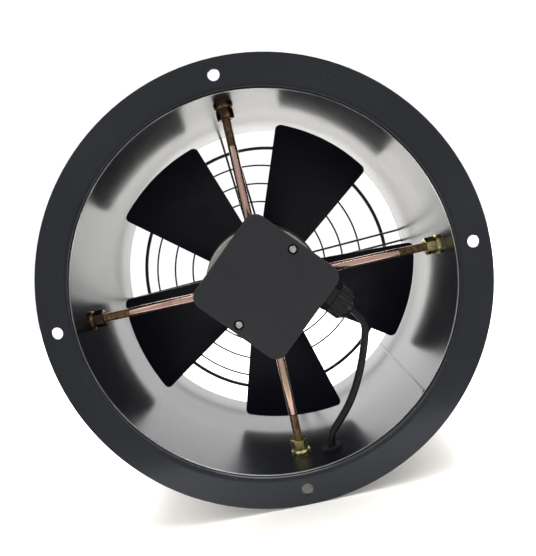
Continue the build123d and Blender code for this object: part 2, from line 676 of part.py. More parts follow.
with BuildPart() as terminal_block:
    with BuildSketch(box_plane(BOX_FLOOR_Y - TERMINAL_SIZE[2])):
        with Locations(TERMINAL_CENTRE):
            Rectangle(*TERMINAL_SIZE[:2])
    extrude(amount=-TERMINAL_SIZE[2])
    with BuildSketch(box_plane(BOX_FLOOR_Y - TERMINAL_SIZE[2])):
        with Locations(TERMINAL_CENTRE):
            with GridLocations(0, TERMINAL_STEP, 1, 3):
                Circle(TERMINAL_HOLE_RADIUS)
    extrude(amount=-TERMINAL_HOLE_DEPTH, mode=Mode.SUBTRACT)
save(terminal_block.part, "terminal_block")

with BuildPart() as run_capacitor:
    with BuildSketch(box_plane(BOX_FLOOR_Y - CAPACITOR_SIZE[2])):
        with Locations(CAPACITOR_CENTRE):
            RectangleRounded(*CAPACITOR_SIZE[:2], CAPACITOR_EDGE)
    extrude(amount=-CAPACITOR_SIZE[2])
save(run_capacitor.part, "run_capacitor")

# ---------------------------------------------------------------- cable gland
GLAND_BORE = CABLE_RADIUS + 0.3
WALL_INSIDE = BOX_INSIDE / 2
WALL_OUTSIDE = BOX_SIDE / 2
LOCKNUT_FLATS = 18.0
LOCKNUT_HEIGHT = 4.0
HEX_TURN = 30.0
BODY_HEX_LENGTH = 6.0
CAP_NUT_START = WALL_OUTSIDE + BODY_HEX_LENGTH + FIT_GAP
CAP_NUT_SHOULDER = GLAND_END - 4.0
CAP_NUT_END_RADIUS = 8.5
SEAL_FRONT = GLAND_END - 7.0
SEAL_BACK = GLAND_END - 2.0
SEAL_RADIUS = 6.0
INNER_END_LENGTH = 12.0


def hexagon(flats):
    """A hexagon with two flats facing along the duct, on the current sketch."""
    RegularPolygon(flats / 2, 6, major_radius=False, rotation=HEX_TURN)


def gland_step(start, end, radius, bore, flats=0.0):
    """A stretch of the gland between two distances: a hexagon where flats are given, else round."""
    with BuildSketch(gland_plane(start)) as step_face:
        if flats:
            hexagon(flats)
        else:
            Circle(radius)
        Circle(bore, mode=Mode.SUBTRACT)
    extrude(step_face.sketch, amount=end - start)


with BuildPart() as cable_gland_body:
    gland_step(WALL_INSIDE - LOCKNUT_HEIGHT - 1, WALL_OUTSIDE + FIT_GAP, GLAND_THREAD_RADIUS, GLAND_BORE)
    gland_step(WALL_OUTSIDE + FIT_GAP, WALL_OUTSIDE + BODY_HEX_LENGTH, 0, GLAND_BORE, GLAND_FLATS)
    gland_step(WALL_OUTSIDE + BODY_HEX_LENGTH, SEAL_FRONT - FIT_GAP, GLAND_THREAD_RADIUS - 0.5, GLAND_BORE)
save(cable_gland_body.part, "cable_gland_body")

with BuildPart() as cable_gland_locknut:
    locknut_bore = GLAND_THREAD_RADIUS + FIT_GAP
    gland_step(WALL_INSIDE - LOCKNUT_HEIGHT, WALL_INSIDE - FIT_GAP, 0, locknut_bore, LOCKNUT_FLATS)
save(cable_gland_locknut.part, "cable_gland_locknut")

with BuildPart() as cable_gland_nut:
    gland_step(CAP_NUT_START, SEAL_FRONT, 0, GLAND_THREAD_RADIUS - 0.4, GLAND_FLATS)
    gland_step(SEAL_FRONT, CAP_NUT_SHOULDER, 0, SEAL_RADIUS + FIT_GAP, GLAND_FLATS)
    with BuildSketch(gland_plane(CAP_NUT_SHOULDER)):
        Circle(GLAND_FLATS / 2)
    with BuildSketch(gland_plane(GLAND_END)):
        Circle(CAP_NUT_END_RADIUS)
    loft()
    seal_seat = gland_plane(SEAL_FRONT)
    cylinder_outward(seal_seat, SEAL_RADIUS + FIT_GAP, SEAL_BACK - SEAL_FRONT, mode=Mode.SUBTRACT)
    cylinder_outward(seal_seat, CABLE_RADIUS + 0.6, GLAND_END - SEAL_FRONT, mode=Mode.SUBTRACT)
save(cable_gland_nut.part, "cable_gland_nut")

with BuildPart() as cable_gland_seal:
    gland_step(SEAL_FRONT, SEAL_BACK - FIT_GAP, SEAL_RADIUS, CABLE_RADIUS + 0.02)
save(cable_gland_seal.part, "cable_gland_seal")

with BuildPart() as supply_cable_inner_end:
    inner_end = gland_plane(WALL_INSIDE - INNER_END_LENGTH)
    cylinder_outward(inner_end, CABLE_RADIUS, GLAND_END + 0.5 - WALL_INSIDE + INNER_END_LENGTH)
save(supply_cable_inner_end.part, "supply_cable_inner_end")

# ---------------------------------------------------------------- grommet in the casing wall
GROMMET_LIP_RADIUS = 8.5
GROMMET_LIP = 2.2
GROMMET_SEAT = DUCT_RADIUS - WALL_SAG


def grommet_disc(radius, disc_radius, length, mode=Mode.ADD):
    """A round step of the grommet from a radius of the duct outward, inside a BuildPart."""
    cylinder_outward(facing_out(GROMMET_ANGLE, radius, GROMMET_Y), disc_radius, length, mode=mode)


with BuildPart() as cable_grommet:
    grommet_disc(GROMMET_SEAT - GROMMET_LIP, GROMMET_LIP_RADIUS, GROMMET_LIP)
    grommet_disc(GROMMET_SEAT, GROMMET_HOLE_RADIUS - FIT_GAP, SHEET + 2 * WALL_SAG)
    grommet_disc(CASING_OUTSIDE + FIT_GAP, GROMMET_LIP_RADIUS, GROMMET_LIP)
    grommet_disc(GROMMET_SEAT - GROMMET_LIP, CABLE_RADIUS + 0.1, 2 * GROMMET_LIP + 2 * SHEET, Mode.SUBTRACT)
save(cable_grommet.part, "cable_grommet")

# ---------------------------------------------------------------- supply cable: free stretch, coil and tie
CABLE_FLOOR = FLOOR + CABLE_RADIUS
CABLE_ROUTE = [
    (68.08, 19.0, -35.42),
    (77.8, 19.0, -46.22),
    (73.3, 21.0, -66.0),
    (64.2, 24.0, -91.5),
    (52.5, 27.0, -114.5),
    (39.5, 28.9, -130.6),
    (26.03, 30.5, -144.67),
    (32.35, 30.5, CABLE_FLOOR),
    (52.0, 70.0, CABLE_FLOOR),
    (76.0, 87.0, CABLE_FLOOR),
    (100.0, 87.0, CABLE_FLOOR),
]
RADIUS_SHARE = 0.45


def corner_radii(route):
    """The bend at each inner corner: nearly half of the shorter run beside it is spent on the arc."""
    radii = []
    for before, corner, after in zip(route, route[1:], route[2:]):
        arriving = Vector(*corner) - Vector(*before)
        leaving = Vector(*after) - Vector(*corner)
        half_turn = radians(arriving.get_angle(leaving)) / 2
        radii.append(RADIUS_SHARE * min(arriving.length, leaving.length) * cos(half_turn) / sin(half_turn))
    return radii


CABLE_BENDS = corner_radii(CABLE_ROUTE)

with BuildPart() as supply_cable:
    with BuildLine() as cable_line:
        FilletPolyline(*CABLE_ROUTE, radius=CABLE_BENDS)
    with BuildSketch(Plane(origin=cable_line.line @ 0, z_dir=cable_line.line % 0)):
        Circle(CABLE_RADIUS)
    sweep()
save(supply_cable.part, "supply_cable")

TIE_THICKNESS = 1.0
TIE_WIDTH = 3.6
TIE_ANGLE = 160.0
TIE_HEAD = 5.0
COIL_BASE = FLOOR + TIE_THICKNESS
COIL_HEIGHT = (COIL_TURNS + 1) * CABLE_DIAMETER
COIL_MIDDLE = COIL_BASE + COIL_HEIGHT / 2
TAIL_SHIFT = 0.3
COIL_TOP_TURN = COIL_BASE + COIL_HEIGHT - CABLE_RADIUS - TAIL_SHIFT
TAIL_X = COIL_CENTRE[0] + COIL_RADIUS + TAIL_SHIFT
TAIL_ROUTE = [
    (TAIL_X, 123.0, COIL_TOP_TURN),
    (TAIL_X, 141.0, COIL_TOP_TURN),
    (TAIL_X, 159.0, CABLE_FLOOR),
    (TAIL_X, 174.0, CABLE_FLOOR),
]
CORE_WIRE_RADIUS = 1.0
CORE_WIRE_CIRCLE = 1.7
CORE_WIRE_LENGTH = 12.0

with BuildPart() as supply_cable_coil:
    with BuildSketch(Plane(origin=(*COIL_CENTRE, 0), x_dir=(1, 0, 0), z_dir=(0, -1, 0))):
        with Locations((COIL_RADIUS, COIL_MIDDLE)):
            RectangleRounded(CABLE_DIAMETER, COIL_HEIGHT, CABLE_RADIUS - TAIL_SHIFT)
    revolve(axis=Axis(origin=(*COIL_CENTRE, 0), direction=(0, 0, 1)))
    with BuildLine() as tail_line:
        FilletPolyline(*TAIL_ROUTE, radius=corner_radii(TAIL_ROUTE))
    with BuildSketch(Plane(origin=TAIL_ROUTE[0], x_dir=(1, 0, 0), z_dir=(0, 1, 0))):
        Circle(CABLE_RADIUS)
    sweep(path=tail_line.line)
save(supply_cable_coil.part, "supply_cable_coil")

with BuildPart() as supply_cable_cores:
    with BuildSketch(Plane(origin=TAIL_ROUTE[-1], x_dir=(1, 0, 0), z_dir=(0, 1, 0))):
        with PolarLocations(CORE_WIRE_CIRCLE, 3):
            Circle(CORE_WIRE_RADIUS)
    extrude(amount=CORE_WIRE_LENGTH)
save(supply_cable_cores.part, "supply_cable_cores")

TIE_TURN = radians(TIE_ANGLE)
TIE_PLANE = Plane(
    origin=(
        COIL_CENTRE[0] + COIL_RADIUS * cos(TIE_TURN),
        COIL_CENTRE[1] + COIL_RADIUS * sin(TIE_TURN),
        COIL_MIDDLE,
    ),
    x_dir=(cos(TIE_TURN), sin(TIE_TURN), 0),
    z_dir=(sin(TIE_TURN), -cos(TIE_TURN), 0),
)
TIE_INSIDE = (CABLE_DIAMETER + 0.3, COIL_HEIGHT)

with BuildPart() as coil_tie:
    with BuildSketch(TIE_PLANE):
        RectangleRounded(TIE_INSIDE[0] + 2 * TIE_THICKNESS, TIE_INSIDE[1] + 2 * TIE_THICKNESS, CABLE_RADIUS)
        RectangleRounded(*TIE_INSIDE, CABLE_RADIUS - TIE_THICKNESS, mode=Mode.SUBTRACT)
    extrude(amount=TIE_WIDTH / 2, both=True)
    with BuildSketch(TIE_PLANE):
        with Locations((TIE_INSIDE[0] / 2 + TIE_HEAD / 2, 0)):
            Rectangle(TIE_HEAD, TIE_HEAD)
    extrude(amount=TIE_HEAD / 2, both=True)
save(coil_tie.part, "coil_tie")

# ---------------------------------------------------------------- wire guard
HALF_LOOP = LOOP_WIDTH / 2
JOGGLE_OUTER = 22.0
JOGGLE_INNER = 13.0
JOGGLE_BEND = 6.0


def sweep_wire(line, radius):
    """Run a round wire along a finished line, inside a BuildPart."""
    with BuildSketch(Plane(origin=line @ 0, z_dir=line % 0)) as section:
        Circle(radius)
    sweep(section.sketch, path=line)


with BuildPart() as guard_outer_ring:
    with BuildSketch(Plane.XY):
        with Locations((RING_RADIUS, LOOP_TOP + RING_WIRE / 2 - WELD_DEPTH)):
            Circle(RING_WIRE / 2)
    revolve(axis=Axis.Y)
save(guard_outer_ring.part, "guard_outer_ring")

with BuildPart() as guard_spiral:
    with BuildLine(guard_plane(LOOP_TOP + SPIRAL_WIRE / 2 - WELD_DEPTH)) as spiral_line:
        turn = JernArc((0, -SPIRAL_START_RADIUS), (-1, 0), SPIRAL_START_RADIUS, -90)
        for quarter in range(1, SPIRAL_QUARTERS):
            turn_radius = SPIRAL_START_RADIUS - quarter * SPIRAL_PITCH / 4
            turn = JernArc(turn @ 1, turn % 1, turn_radius, -90)
    sweep_wire(spiral_line.line, SPIRAL_WIRE / 2)
save(guard_spiral.part, "guard_spiral")

with BuildPart() as guard_vertical_loop:
    with BuildLine(facing_front(LOOP_Y, UPRIGHT_LOOP_TURN)) as loop_line:
        Line((HALF_LOOP, -BOLT_CIRCLE), (HALF_LOOP, BOLT_CIRCLE))
        CenterArc((0, BOLT_CIRCLE), HALF_LOOP, 0, 180)
        Line((-HALF_LOOP, BOLT_CIRCLE), (-HALF_LOOP, -BOLT_CIRCLE))
        CenterArc((0, -BOLT_CIRCLE), HALF_LOOP, 180, 180)
    sweep_wire(loop_line.line, LOOP_WIRE / 2)
save(guard_vertical_loop.part, "guard_vertical_loop")


def joggled_wire(height, direction):
    """One long wire of the level loop, raised where it crosses the upright loop."""
    ends = [(BOLT_CIRCLE, 0), (JOGGLE_OUTER, 0), (JOGGLE_INNER, LOOP_JOGGLE)]
    points = [(-direction * x, height, -rise) for x, rise in ends]
    points += [(direction * x, height, -rise) for x, rise in ends[::-1]]
    FilletPolyline(*points, radius=JOGGLE_BEND)


with BuildPart() as guard_level_loop:
    with BuildLine(guard_plane(LOOP_Y)) as loop_line:
        joggled_wire(-HALF_LOOP, 1)
        CenterArc((BOLT_CIRCLE, 0), HALF_LOOP, -90, 180)
        joggled_wire(HALF_LOOP, -1)
        CenterArc((-BOLT_CIRCLE, 0), HALF_LOOP, 90, 180)
    sweep_wire(loop_line.line, LOOP_WIRE / 2)
save(guard_level_loop.part, "guard_level_loop")

# ---------------------------------------------------------------- guard bolts, washers and nuts
BOLT_HEAD_HEIGHT = 5.3
BOLT_LENGTH = 20.0
GUARD_WASHER_RADIUS = 10.0
GUARD_BOLT_SEAT = LOOP_TOP + WASHER_THICKNESS

with BuildPart() as guard_washers:
    with BuildSketch(facing_front(LOOP_TOP)):
        with Locations(*GUARD_BOLTS):
            Circle(GUARD_WASHER_RADIUS)
            Circle(WASHER_BORE, mode=Mode.SUBTRACT)
    extrude(amount=-WASHER_THICKNESS)
save(guard_washers.part, "guard_washers")

with BuildPart() as guard_bolts:
    with BuildSketch(facing_front(GUARD_BOLT_SEAT)):
        with Locations(*GUARD_BOLTS):
            RegularPolygon(NUT_FLATS / 2, 6, major_radius=False)
    extrude(amount=-BOLT_HEAD_HEIGHT)
    with BuildSketch(facing_front(GUARD_BOLT_SEAT)):
        with Locations(*GUARD_BOLTS):
            Circle(ROD_RADIUS)
    extrude(amount=BOLT_LENGTH)
save(guard_bolts.part, "guard_bolts")

with BuildPart() as guard_nuts:
    nut_seat = facing_front(DUCT_LENGTH - SHEET)
    for across, up in GUARD_BOLTS:
        flange_nut(Plane(origin=nut_seat.from_local_coords(Vector(across, up, 0)), z_dir=(0, -1, 0)))
save(guard_nuts.part, "guard_nuts")
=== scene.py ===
"""Looks of the inline duct fan: camera, light, supply cable, detail pieces and materials.

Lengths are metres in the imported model's frame: the duct's axis is Y, +Z is up, and the origin is in the
outer face of the front flange.
"""
import json
from math import asin, cos, pi, radians, sin, tau

import bmesh
import bpy
from mathutils import Matrix, Vector


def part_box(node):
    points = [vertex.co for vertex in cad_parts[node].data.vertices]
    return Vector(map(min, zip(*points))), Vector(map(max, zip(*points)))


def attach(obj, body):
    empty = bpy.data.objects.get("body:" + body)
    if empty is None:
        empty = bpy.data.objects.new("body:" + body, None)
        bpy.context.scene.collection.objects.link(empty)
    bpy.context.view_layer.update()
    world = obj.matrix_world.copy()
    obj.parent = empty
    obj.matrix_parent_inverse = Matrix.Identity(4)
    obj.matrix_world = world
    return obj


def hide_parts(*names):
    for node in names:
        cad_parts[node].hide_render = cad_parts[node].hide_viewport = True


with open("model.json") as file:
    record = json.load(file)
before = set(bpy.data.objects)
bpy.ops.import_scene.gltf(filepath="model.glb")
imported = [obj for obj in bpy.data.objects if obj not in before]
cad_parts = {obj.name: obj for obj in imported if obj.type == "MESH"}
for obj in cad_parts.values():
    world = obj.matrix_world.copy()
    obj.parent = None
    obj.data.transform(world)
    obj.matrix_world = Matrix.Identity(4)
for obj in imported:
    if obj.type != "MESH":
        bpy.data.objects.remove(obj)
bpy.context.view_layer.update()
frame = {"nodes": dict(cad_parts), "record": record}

MM = 0.001

# ---------------------------------------------------------------- sizes from the frame
CASING_LOW, CASING_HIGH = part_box("casing")
DUCT_LENGTH = CASING_HIGH.y
FLOOR = CASING_LOW.z
ROD_LOW, ROD_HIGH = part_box("support_rod_right")
ROD_RADIUS = (ROD_HIGH.z - ROD_LOW.z) / 2
ROD_Y = (ROD_HIGH.y + ROD_LOW.y) / 2
ROD_START = ROD_LOW.x
ROD_END = ROD_HIGH.x
CAN_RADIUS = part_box("rotor_can")[1].x
RING_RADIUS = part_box("guard_outer_ring")[1].x - 2 * MM
LOOP_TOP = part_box("guard_vertical_loop")[1].y

# ---------------------------------------------------------------- sizes that repeat the CAD's
DUCT_RADIUS = 156.5 * MM
SHEET = 2.0 * MM
MOUTH_BEND = 5.0 * MM
SEAM_ANGLE = -45.5
BOLT_CIRCLE = 170.0 * MM
QUARTERS = (0.0, 90.0, 180.0, 270.0)
# The top and the left inner nuts take a darker zinc: painted shade for the dark surroundings their faces
# reflect.
SHADED_NUTS = (90.0, 180.0)
NUT_FLATS = 13.0 * MM
NUT_BORE = 4.0 * MM
NUT_FLANGE_RADIUS = 8.4 * MM
NUT_FLANGE_HEIGHT = 1.6 * MM
NUT_HEIGHT = 8.0 * MM
LONG_NUT_FLANGE_HEIGHT = 3.4 * MM
LONG_NUT_HEIGHT = 12.5 * MM
LEVEL_LOOP_TURN = 2.0
UPRIGHT_LOOP_TURN = 4.0
GUARD_BOLT_ANGLES = (
    LEVEL_LOOP_TURN,
    90.0 + UPRIGHT_LOOP_TURN,
    180.0 + LEVEL_LOOP_TURN,
    270.0 + UPRIGHT_LOOP_TURN,
)
INNER_NUT_SEAT = DUCT_RADIUS - 0.3 * MM
OUTER_NUT_SEAT = DUCT_RADIUS + SHEET + 1.62 * MM
BLADE_COUNT = 5
FIRST_BLADE_ANGLE = -18.7
BLADE_ANGLES = [FIRST_BLADE_ANGLE + number * 360.0 / BLADE_COUNT for number in range(BLADE_COUNT)]
HALF_LOOP = 6.25 * MM


# ---------------------------------------------------------------- materials
NOISE_LOW = 0.3
NOISE_HIGH = 0.7


class Material:
    """A Principled material that is built up a node at a time, on the object's own coordinates."""

    def __init__(self, name, color, roughness, metallic=0.0):
        self.material = bpy.data.materials.new(name)
        self.material.use_nodes = True
        self.tree = self.material.node_tree
        self.shader = self.tree.nodes["Principled BSDF"]
        self.set("Base Color", (*color, 1.0))
        self.set("Roughness", roughness)
        self.set("Metallic", metallic)
        self.place = self.node("ShaderNodeTexCoord").outputs["Object"]

    def set(self, socket, value):
        self.shader.inputs[socket].default_value = value

    def node(self, kind, **inputs):
        made = self.tree.nodes.new(kind)
        for name, value in inputs.items():
            made.inputs[name].default_value = value
        return made

    def link(self, output, target):
        self.tree.links.new(output, target)

    def noise(self, scale, detail=4.0, roughness=0.55, stretch=None):
        made = self.node("ShaderNodeTexNoise", Scale=scale, Detail=detail, Roughness=roughness)
        source = self.place
        if stretch:
            mapping = self.node("ShaderNodeMapping", Scale=stretch)
            self.link(source, mapping.inputs["Vector"])
            source = mapping.outputs["Vector"]
        self.link(source, made.inputs["Vector"])
        return made.outputs["Fac"]

    def ramp(self, source, stops):
        made = self.node("ShaderNodeValToRGB")
        elements = made.color_ramp.elements
        while len(elements) < len(stops):
            elements.new(0.5)
        for element, (position, color) in zip(elements, stops):
            element.position = position
            element.color = (*color, 1.0)
        self.link(source, made.inputs["Fac"])
        return made.outputs["Color"]

    def color_from(self, source, stops):
        self.link(self.ramp(source, stops), self.shader.inputs["Base Color"])

    def roughness_from(self, source, low, high):
        limits = {"From Min": NOISE_LOW, "From Max": NOISE_HIGH, "To Min": low, "To Max": high}
        made = self.node("ShaderNodeMapRange", **limits)
        self.link(source, made.inputs["Value"])
        self.link(made.outputs["Result"], self.shader.inputs["Roughness"])

    def bump(self, source, height, strength=1.0):
        made = self.node("ShaderNodeBump", Strength=strength, Distance=height)
        self.link(source, made.inputs["Height"])
        self.link(made.outputs["Normal"], self.shader.inputs["Normal"])


def enamel():
    """Gloss black enamel on the casing, with dust specks and faint scuffs."""
    made = Material("enamel", (0.006, 0.007, 0.009), 0.22)
    made.set("IOR", 1.5)
    made.set("Specular Tint", (0.84, 0.90, 1.0, 1.0))
    peaks_only = [(0.0, (0, 0, 0)), (0.70, (0, 0, 0)), (0.78, (1, 1, 1))]
    specks = made.ramp(made.noise(420.0, 2.0, 0.4), peaks_only)
    blacks = [(0.3, (0.003, 0.0035, 0.006)), (0.75, (0.012, 0.013, 0.018))]
    cloud = made.ramp(made.noise(9.0, 5.0, 0.6), blacks)
    mix = made.node("ShaderNodeMix")
    mix.data_type = "RGBA"
    made.link(specks, mix.inputs["Factor"])
    made.link(cloud, mix.inputs[6])
    mix.inputs[7].default_value = (0.05, 0.05, 0.048, 1.0)
    made.link(mix.outputs[2], made.shader.inputs["Base Color"])
    made.roughness_from(made.noise(26.0, 6.0, 0.65), 0.21, 0.27)
    return made.material


def mouth_highlight_metal():
    """Bright grey metal that paints a highlight line on the mouth's bend, brighter and duller along its
    length.
    """
    made = Material("mouth_highlight_metal", (0.45, 0.44, 0.42), 0.4, 0.8)
    made.color_from(made.noise(11.0, 4.0, 0.6), [(0.35, (0.34, 0.34, 0.33)), (0.62, (0.85, 0.83, 0.79))])
    made.roughness_from(made.noise(60.0, 3.0), 0.32, 0.5)
    return made.material


def blade_paint():
    """Satin blue-black paint on the blades."""
    made = Material("blade_paint", (0.006, 0.007, 0.013), 0.34)
    made.color_from(made.noise(14.0, 4.0), [(0.3, (0.003, 0.0035, 0.009)), (0.75, (0.006, 0.007, 0.016))])
    made.set("IOR", 1.3)
    made.roughness_from(made.noise(60.0, 5.0), 0.28, 0.45)
    made.bump(made.noise(700.0, 2.0), 0.00003, 0.4)
    return made.material


def satin_black(name, tone):
    """Satin black paint for the rotor and the guard's wires."""
    made = Material(name, (tone, tone, tone * 1.1), 0.4)
    tints = [(0.3, (tone * 0.7,) * 3), (0.75, (tone * 1.7, tone * 1.7, tone * 1.8))]
    made.color_from(made.noise(35.0, 5.0), tints)
    made.roughness_from(made.noise(90.0, 4.0), 0.32, 0.5)
    made.bump(made.noise(900.0, 2.0), 0.00003, 0.5)
    return made.material


def passivate():
    """Iridescent yellow and pink zinc passivate on the rods."""
    made = Material("passivate", (0.85, 0.55, 0.48), 0.22, 1.0)
    tints = [
        (0.28, (0.42, 0.27, 0.20)),
        (0.45, (0.60, 0.39, 0.36)),
        (0.58, (0.56, 0.41, 0.30)),
        (0.75, (0.50, 0.41, 0.25)),
    ]
    made.color_from(made.noise(28.0, 3.0, 0.5), tints)
    made.roughness_from(made.noise(60.0, 3.0), 0.18, 0.28)
    return made.material


def dark_thread():
    """The rods' threads, where the passivate is brown and oil has gathered."""
    made = Material("dark_thread", (0.16, 0.10, 0.06), 0.38, 1.0)
    tints = [(0.3, (0.09, 0.055, 0.03)), (0.55, (0.22, 0.14, 0.08)), (0.75, (0.40, 0.30, 0.17))]
    made.color_from(made.noise(300.0, 4.0), tints)
    return made.material


def yellow_zinc():
    """Yellow-green zinc chromate on nuts, washers and bolts."""
    made = Material("yellow_zinc", (0.48, 0.42, 0.2), 0.3, 1.0)
    tints = [(0.3, (0.24, 0.18, 0.06)), (0.5, (0.46, 0.40, 0.16)), (0.72, (0.60, 0.58, 0.32))]
    made.color_from(made.noise(130.0, 5.0, 0.6), tints)
    made.roughness_from(made.noise(260.0, 3.0), 0.2, 0.42)
    made.bump(made.noise(1200.0, 2.0), 0.00003, 0.5)
    return made.material


def shaded_zinc():
    """Darker brown zinc on the top and the left nuts: painted shade for the dark surroundings that their
    faces reflect.
    """
    made = Material("shaded_zinc", (0.10, 0.06, 0.04), 0.36, 1.0)
    tints = [(0.3, (0.045, 0.028, 0.02)), (0.55, (0.12, 0.07, 0.05)), (0.78, (0.40, 0.32, 0.16))]
    made.color_from(made.noise(150.0, 4.0, 0.6), tints)
    made.roughness_from(made.noise(260.0, 3.0), 0.28, 0.45)
    return made.material


def aluminium():
    """Cast aluminium with a turned rim."""
    made = Material("aluminium", (0.42, 0.43, 0.39), 0.42, 1.0)
    made.color_from(made.noise(70.0, 6.0, 0.6), [(0.3, (0.34, 0.35, 0.31)), (0.7, (0.50, 0.51, 0.46))])
    made.roughness_from(made.noise(300.0, 4.0), 0.34, 0.56)
    made.bump(made.noise(650.0, 3.0), 0.00006, 0.6)
    return made.material


def steel(name, tone, roughness):
    """Machined steel, drawn fine along the duct's axis."""
    made = Material(name, (tone, tone, tone), roughness, 1.0)
    grain = made.noise(180.0, 4.0, 0.6, stretch=(1.0, 9.0, 1.0))
    made.color_from(grain, [(0.3, (tone * 0.75,) * 3), (0.7, (tone * 1.15,) * 3)])
    made.bump(grain, 0.00003, 0.6)
    return made.material


def laminations():
    """Edges of stacked sheets, half a millimetre each."""
    made = Material("laminations", (0.3, 0.3, 0.31), 0.5, 1.0)
    wave = made.node("ShaderNodeTexWave", Scale=320.0, Distortion=0.3)
    wave.bands_direction = "Y"
    made.link(made.place, wave.inputs["Vector"])
    made.color_from(wave.outputs["Fac"], [(0.1, (0.12, 0.12, 0.13)), (0.6, (0.36, 0.36, 0.37))])
    made.bump(wave.outputs["Fac"], 0.00008)
    return made.material


def copper():
    """Varnished copper winding with strands round the axis."""
    made = Material("copper", (0.5, 0.2, 0.08), 0.32, 1.0)
    strands = made.noise(900.0, 2.0, 0.4, stretch=(1.0, 0.3, 1.0))
    made.color_from(strands, [(0.3, (0.28, 0.09, 0.03)), (0.7, (0.66, 0.30, 0.13))])
    made.bump(strands, 0.0002)
    return made.material


def box_plastic():
    """Matt charcoal plastic with a spark-eroded texture and faint wipe marks."""
    made = Material("box_plastic", (0.036, 0.038, 0.043), 0.55)
    tints = [(0.3, (0.009, 0.010, 0.014)), (0.7, (0.014, 0.015, 0.020))]
    made.color_from(made.noise(22.0, 6.0, 0.65), tints)
    made.roughness_from(made.noise(50.0, 5.0), 0.46, 0.62)
    made.bump(made.noise(1400.0, 3.0, 0.6), 0.00008, 0.5)
    return made.material


def moulded(name, color, roughness):
    """Moulded plastic with a fine skin."""
    made = Material(name, color, roughness)
    made.set("IOR", 1.38)
    dull = tuple(value * 0.8 for value in color)
    bright = tuple(min(1.0, value * 1.15) for value in color)
    made.color_from(made.noise(60.0, 4.0), [(0.3, dull), (0.7, bright)])
    made.bump(made.noise(1100.0, 2.0), 0.00004, 0.5)
    return made.material


def cable_rubber():
    """Black rubber sheath, a little glossy, with small nicks whose glints are painted into its colour as
    pale specks.
    """
    made = Material("cable_rubber", (0.006, 0.006, 0.008), 0.34)
    made.set("IOR", 1.37)
    # the pale top stop paints the nicks' glints: painted highlights
    tints = [(0.3, (0.002, 0.002, 0.004)), (0.62, (0.005, 0.005, 0.008)), (0.76, (0.09, 0.09, 0.11))]
    made.color_from(made.noise(260.0, 5.0, 0.7), tints)
    made.roughness_from(made.noise(420.0, 4.0), 0.26, 0.55)
    made.bump(made.noise(520.0, 4.0, 0.6), 0.00022, 0.7)
    return made.material


def rubber():
    """Matt moulded rubber."""
    made = Material("rubber", (0.006, 0.006, 0.007), 0.62)
    made.set("IOR", 1.35)
    made.color_from(made.noise(120.0, 4.0), [(0.3, (0.004, 0.004, 0.005)), (0.7, (0.010, 0.010, 0.011))])
    made.bump(made.noise(700.0, 3.0), 0.00006, 0.6)
    return made.material


ENAMEL = enamel()
MOUTH_HIGHLIGHT_METAL = mouth_highlight_metal()
BLADE_PAINT = blade_paint()
GUARD_PAINT = satin_black("guard_paint", 0.004)
ROTOR_PAINT = satin_black("rotor_paint", 0.016)
PASSIVATE = passivate()
DARK_THREAD = dark_thread()
YELLOW_ZINC = yellow_zinc()
SHADED_ZINC = shaded_zinc()
CABLE_RUBBER = cable_rubber()

SLOT_MATERIALS = {
    "casing": ENAMEL,
    "passivated_rod": PASSIVATE,
    "yellow_zinc": YELLOW_ZINC,
    "guard_wire": GUARD_PAINT,
    "cast_aluminium": aluminium(),
    "machined_steel": steel("machined_steel", 0.5, 0.3),
    "lamination": laminations(),
    "copper_winding": copper(),
    "lead_sleeve": moulded("lead_sleeve", (0.72, 0.70, 0.64), 0.7),
    "rotor_paint": ROTOR_PAINT,
    "bearing_steel": steel("bearing_steel", 0.62, 0.16),
    "blade_paint": BLADE_PAINT,
    "box_plastic": box_plastic(),
    "black_rubber": rubber(),
    "bright_screw": steel("bright_screw", 0.62, 0.26),
    "terminal_plastic": moulded("terminal_plastic", (0.78, 0.77, 0.72), 0.5),
    "capacitor_case": moulded("capacitor_case", (0.74, 0.74, 0.72), 0.3),
    "gland_plastic": moulded("gland_plastic", (0.005, 0.005, 0.007), 0.34),
    "cable_rubber": CABLE_RUBBER,
    "tie_plastic": moulded("tie_plastic", (0.02, 0.02, 0.02), 0.45),
}


def paint_cad_nodes():
    """Give every CAD node the material of its slot."""
    for part in frame["record"]["subparts"]:
        carried = frame["nodes"][part["node"]]
        for place in carried.material_slots:
            place.material = SLOT_MATERIALS[part["material_slot"]]


# ---------------------------------------------------------------- mesh helpers
def mesh_piece(name, mesh_data, body, materials, smooth_angle=40.0):
    """Turn a bmesh into a piece that rides on a body."""
    mesh = bpy.data.meshes.new(name)
    bmesh.ops.remove_doubles(mesh_data, verts=mesh_data.verts, dist=1e-7)
    bmesh.ops.recalc_face_normals(mesh_data, faces=mesh_data.faces)
    mesh_data.to_mesh(mesh)
    mesh_data.free()
    piece = bpy.data.objects.new(name, mesh)
    bpy.context.scene.collection.objects.link(piece)
    for material in materials:
        mesh.materials.append(material)
    mesh.shade_smooth()
    mesh.set_sharp_from_angle(angle=radians(smooth_angle))
    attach(piece, body)
    return piece


def radial_place(angle, radius, y):
    """Local z points out along the radius, local x along the duct."""
    turn = radians(angle)
    outward = Vector((cos(turn), 0.0, sin(turn)))
    along = Vector((0.0, 1.0, 0.0))
    across = outward.cross(along)
    rows = Matrix((along, across, outward)).transposed().to_4x4()
    return Matrix.Translation(outward * radius + Vector((0.0, y, 0.0))) @ rows


def add_rings(mesh_data, rings, place, material_index=0):
    """Join closed rings of points into a tube; the faces between two rings share one material."""
    made = [[mesh_data.verts.new(place @ point) for point in ring] for ring in rings]
    count = len(made[0])
    for before, after in zip(made, made[1:]):
        for i in range(count):
            j = (i + 1) % count
            face = mesh_data.faces.new((before[i], before[j], after[j], after[i]))
            face.material_index = material_index
    return made


def turned_rings(outline, segments):
    """Rings of points round the local z axis, one for each (radius, height) of the outline."""
    turns = [tau * i / segments for i in range(segments)]
    return [[Vector((r * cos(t), r * sin(t), z)) for t in turns] for r, z in outline]


